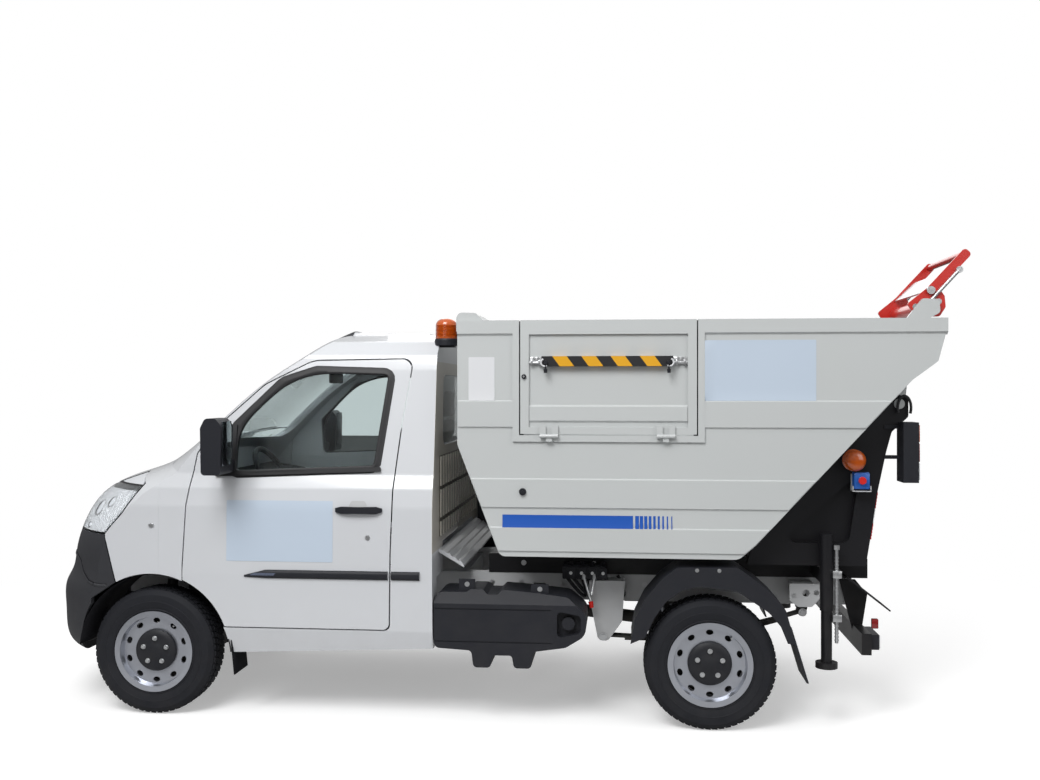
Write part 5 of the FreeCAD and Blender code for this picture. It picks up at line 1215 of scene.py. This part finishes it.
stop_box, button, bracket = bmesh.new(), bmesh.new(), bmesh.new()
block(stop_box, (1.652, -0.704, 1.108), (1.723, -0.652, 1.182), 0.005)
block(stop_box, (1.650, -0.678, 1.106), (1.725, -0.674, 1.184), 0.001)
level_rod(button, (1.6875, -0.703, 1.148), -0.009, 0.013)
level_rod(button, (1.6875, -0.711, 1.148), -0.011, 0.0185, 0.0165, sides=32)
block(bracket, (1.648, -0.652, 1.096), (1.727, -0.646, 1.176), 0.001)
block(bracket, (1.646, -0.708, 1.096), (1.729, -0.646, 1.100), 0.001)
for x in (1.646, 1.726):
    block(bracket, (x, -0.706, 1.096), (x + 0.003, -0.646, 1.122), 0.001)
valves, levers, knobs = bmesh.new(), bmesh.new(), bmesh.new()
block(valves, (0.300, -0.548, 0.645), (0.510, -0.4205, 0.706), 0.004)
for number in range(4):
    x = 0.322 + number * 0.052
    block(valves, (x, -0.556, 0.650), (x + 0.040, -0.540, 0.700), 0.003)
    rod(valves, (x + 0.020, -0.500, 0.700), (x + 0.020, -0.500, 0.722), 0.011, sides=6)
    level_rod(levers, (x + 0.020, -0.556, 0.676), -0.005, 0.008, sides=16)
for x, lean, length in ((0.405, 0.30, 0.115), (0.455, -0.15, 0.080)):
    start = Vector((x, -0.556, 0.655))
    end = start + Vector((length * math.sin(lean), -0.028, -length * math.cos(lean)))
    rod(levers, start, end, 0.0065, sides=16)
    rod(levers, start + Vector((0, 0.01, 0.012)), start - Vector((0, 0, 0.010)), 0.011, sides=16)
    if lean > 0:
        rod(knobs, end, end + Vector((0.006, -0.004, -0.030)), 0.0125, 0.0095)
for x in (0.315, 0.345, 0.500):
    tube(valves, [(x + 0.10 * math.sin(2.4 * step / 9), -0.500 + 0.05 * step / 9,
                   0.65 - 0.10 * math.sin(math.pi * step / 9)) for step in range(10)], 0.008)
for name, form, material, slot in (
        ("stop_box", stop_box, control_blue, "control_paint"),
        ("stop_button", button, button_red, "tail_lens"),
        ("stop_bracket", bracket, frame_paint, "zinc_steel"),
        ("valve_block", valves, black_plastic, "black_plastic"),
        ("valve_levers", levers, zinc_steel, "zinc_steel"),
        ("valve_knob", knobs, button_red, "tail_lens")):
    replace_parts(settle(name, form, material, "root"), "control_boxes")

lenses = {"tail_lens": (tail_lens, bmesh.new()), "amber_lens": (amber_lens, bmesh.new()),
          "lamp_lens": (silver_tape, bmesh.new())}
for _, side in SIDES:
    for slot, low, high in (("amber_lens", 1.325, 1.405), ("tail_lens", 1.235, 1.320),
                            ("lamp_lens", 1.152, 1.230)):
        form = lenses[slot][1]
        side_block(form, side, (1.934, 1.944), (0.610, 0.710), (low, high), 0.003)
        for number in range(6):
            z = low + (high - low) * (number + 0.5) / 6
            level_rod(form, (1.9437, min(side * 0.616, side * 0.704), z), 0.088, 0.002, sides=8)
    for slot, start, end in (("tail_lens", 0.440, 0.520), ("amber_lens", 0.522, 0.575),
                             ("lamp_lens", 0.577, 0.610)):
        side_block(lenses[slot][1], side, (1.783, 1.791), (start, end), (0.354, 0.416), 0.003)
    side_block(lenses["tail_lens"][1], side, (1.745, 1.775), (0.622, 0.646), (0.455, 0.500), 0.004)
for slot, (material, form) in lenses.items():
    settle("rear_" + slot, form, material, "root")
hose = bmesh.new()
turns = [math.pi * (0.35 + 1.3 * step / 18) - 1.6 for step in range(19)]
tube(hose, [(1.886 + 0.030 * math.cos(turn), -0.664, 1.482 + 0.055 * math.sin(turn)) for turn in turns],
     0.0065)
settle("lamp_hose", hose, rubber, "root")

# Studio
# A pale floor that goes over into a white background, and three soft lamps.

CAMERA_PLACE = (0.595, -5.703, 1.564)
CAMERA_TURN = math.radians(5.56)
FOCAL_PIXELS = 1060
PICTURE_WIDTH = 1040
SENSOR_WIDTH = 36.0
FLOOR_SIZE = 30.0
FADE = (2.2, 5.0)
WHITE = (1.0, 1.0, 1.0, 1.0)
LAMPS = (("key", (-1.6, -5.6, 6.3), 3.5, 430), ("fill", (5.5, -4.5, 3.5), 4.0, 90),
         ("back", (0.5, 6.0, 5.5), 6.0, 150))
LAMP_AIM = Vector((0, 0, 0.9))
scene = bpy.context.scene


def staged(name, data):
    """A new object in the scene."""
    thing = bpy.data.objects.new(name, data)
    scene.collection.objects.link(thing)
    return thing


camera_data = bpy.data.cameras.new("camera")
camera_data.sensor_fit = "HORIZONTAL"
camera_data.sensor_width = SENSOR_WIDTH
camera_data.lens = SENSOR_WIDTH * FOCAL_PIXELS / PICTURE_WIDTH
camera = staged("camera", camera_data)
camera.location = CAMERA_PLACE
camera.rotation_euler = (math.pi / 2, 0.0, CAMERA_TURN)
scene.camera = camera

floor_bm = bmesh.new()
bmesh.ops.create_grid(floor_bm, x_segments=1, y_segments=1, size=FLOOR_SIZE)
floor_mesh = bpy.data.meshes.new("floor")
floor_bm.to_mesh(floor_mesh)
floor_bm.free()
floor = staged("floor", floor_mesh)
floor_material, tree, shader = bare_material("floor", {"Emission Color": WHITE, "Roughness": 1.0,
                                                       "Specular IOR Level": 0.0})
reach = node(tree, "VectorMath", {0: object_place(tree)}, operation="LENGTH")
fade = node(tree, "MapRange", {"Value": reach.outputs["Value"], "From Min": FADE[0], "From Max": FADE[1]},
            interpolation_type="SMOOTHSTEP").outputs["Result"]
seen = node(tree, "LightPath").outputs["Is Camera Ray"]
near_tone = mixed(tree, seen, (0.42, 0.42, 0.42), (0.80, 0.80, 0.80))
glow = mixed(tree, fade, 0.34, 1.0, "FLOAT")
feed(tree, shader, {"Base Color": mixed(tree, fade, near_tone, (0.0, 0.0, 0.0)),
                    "Emission Strength": mixed(tree, seen, 0.10, glow, "FLOAT")})
floor.data.materials.append(floor_material)

world = bpy.data.worlds.new("studio")
world.use_nodes = True
tree = world.node_tree
rays = node(tree, "LightPath")
seen = maths(tree, "MAXIMUM", rays.outputs["Is Camera Ray"], rays.outputs["Is Transmission Ray"])
upward = node(tree, "SeparateXYZ", {"Vector": node(tree, "TexCoord").outputs["Generated"]})
sky = node(tree, "MapRange", {"Value": upward.outputs["Z"], "From Min": -0.1, "From Max": 0.9,
                              "To Min": 0.20, "To Max": 0.74})
strength = node(tree, "MapRange", {"Value": seen, "To Min": sky.outputs["Result"], "To Max": 1.0})
feed(tree, tree.nodes["Background"], {"Color": WHITE, "Strength": strength.outputs["Result"]})
scene.world = world
scene.view_settings.view_transform = "Standard"
for name, place, size, power in LAMPS:
    data = bpy.data.lights.new(name, "AREA")
    data.size = size
    data.energy = power
    lamp = staged(name, data)
    lamp.location = place
    lamp.rotation_euler = (LAMP_AIM - Vector(place)).to_track_quat("-Z", "Y").to_euler()
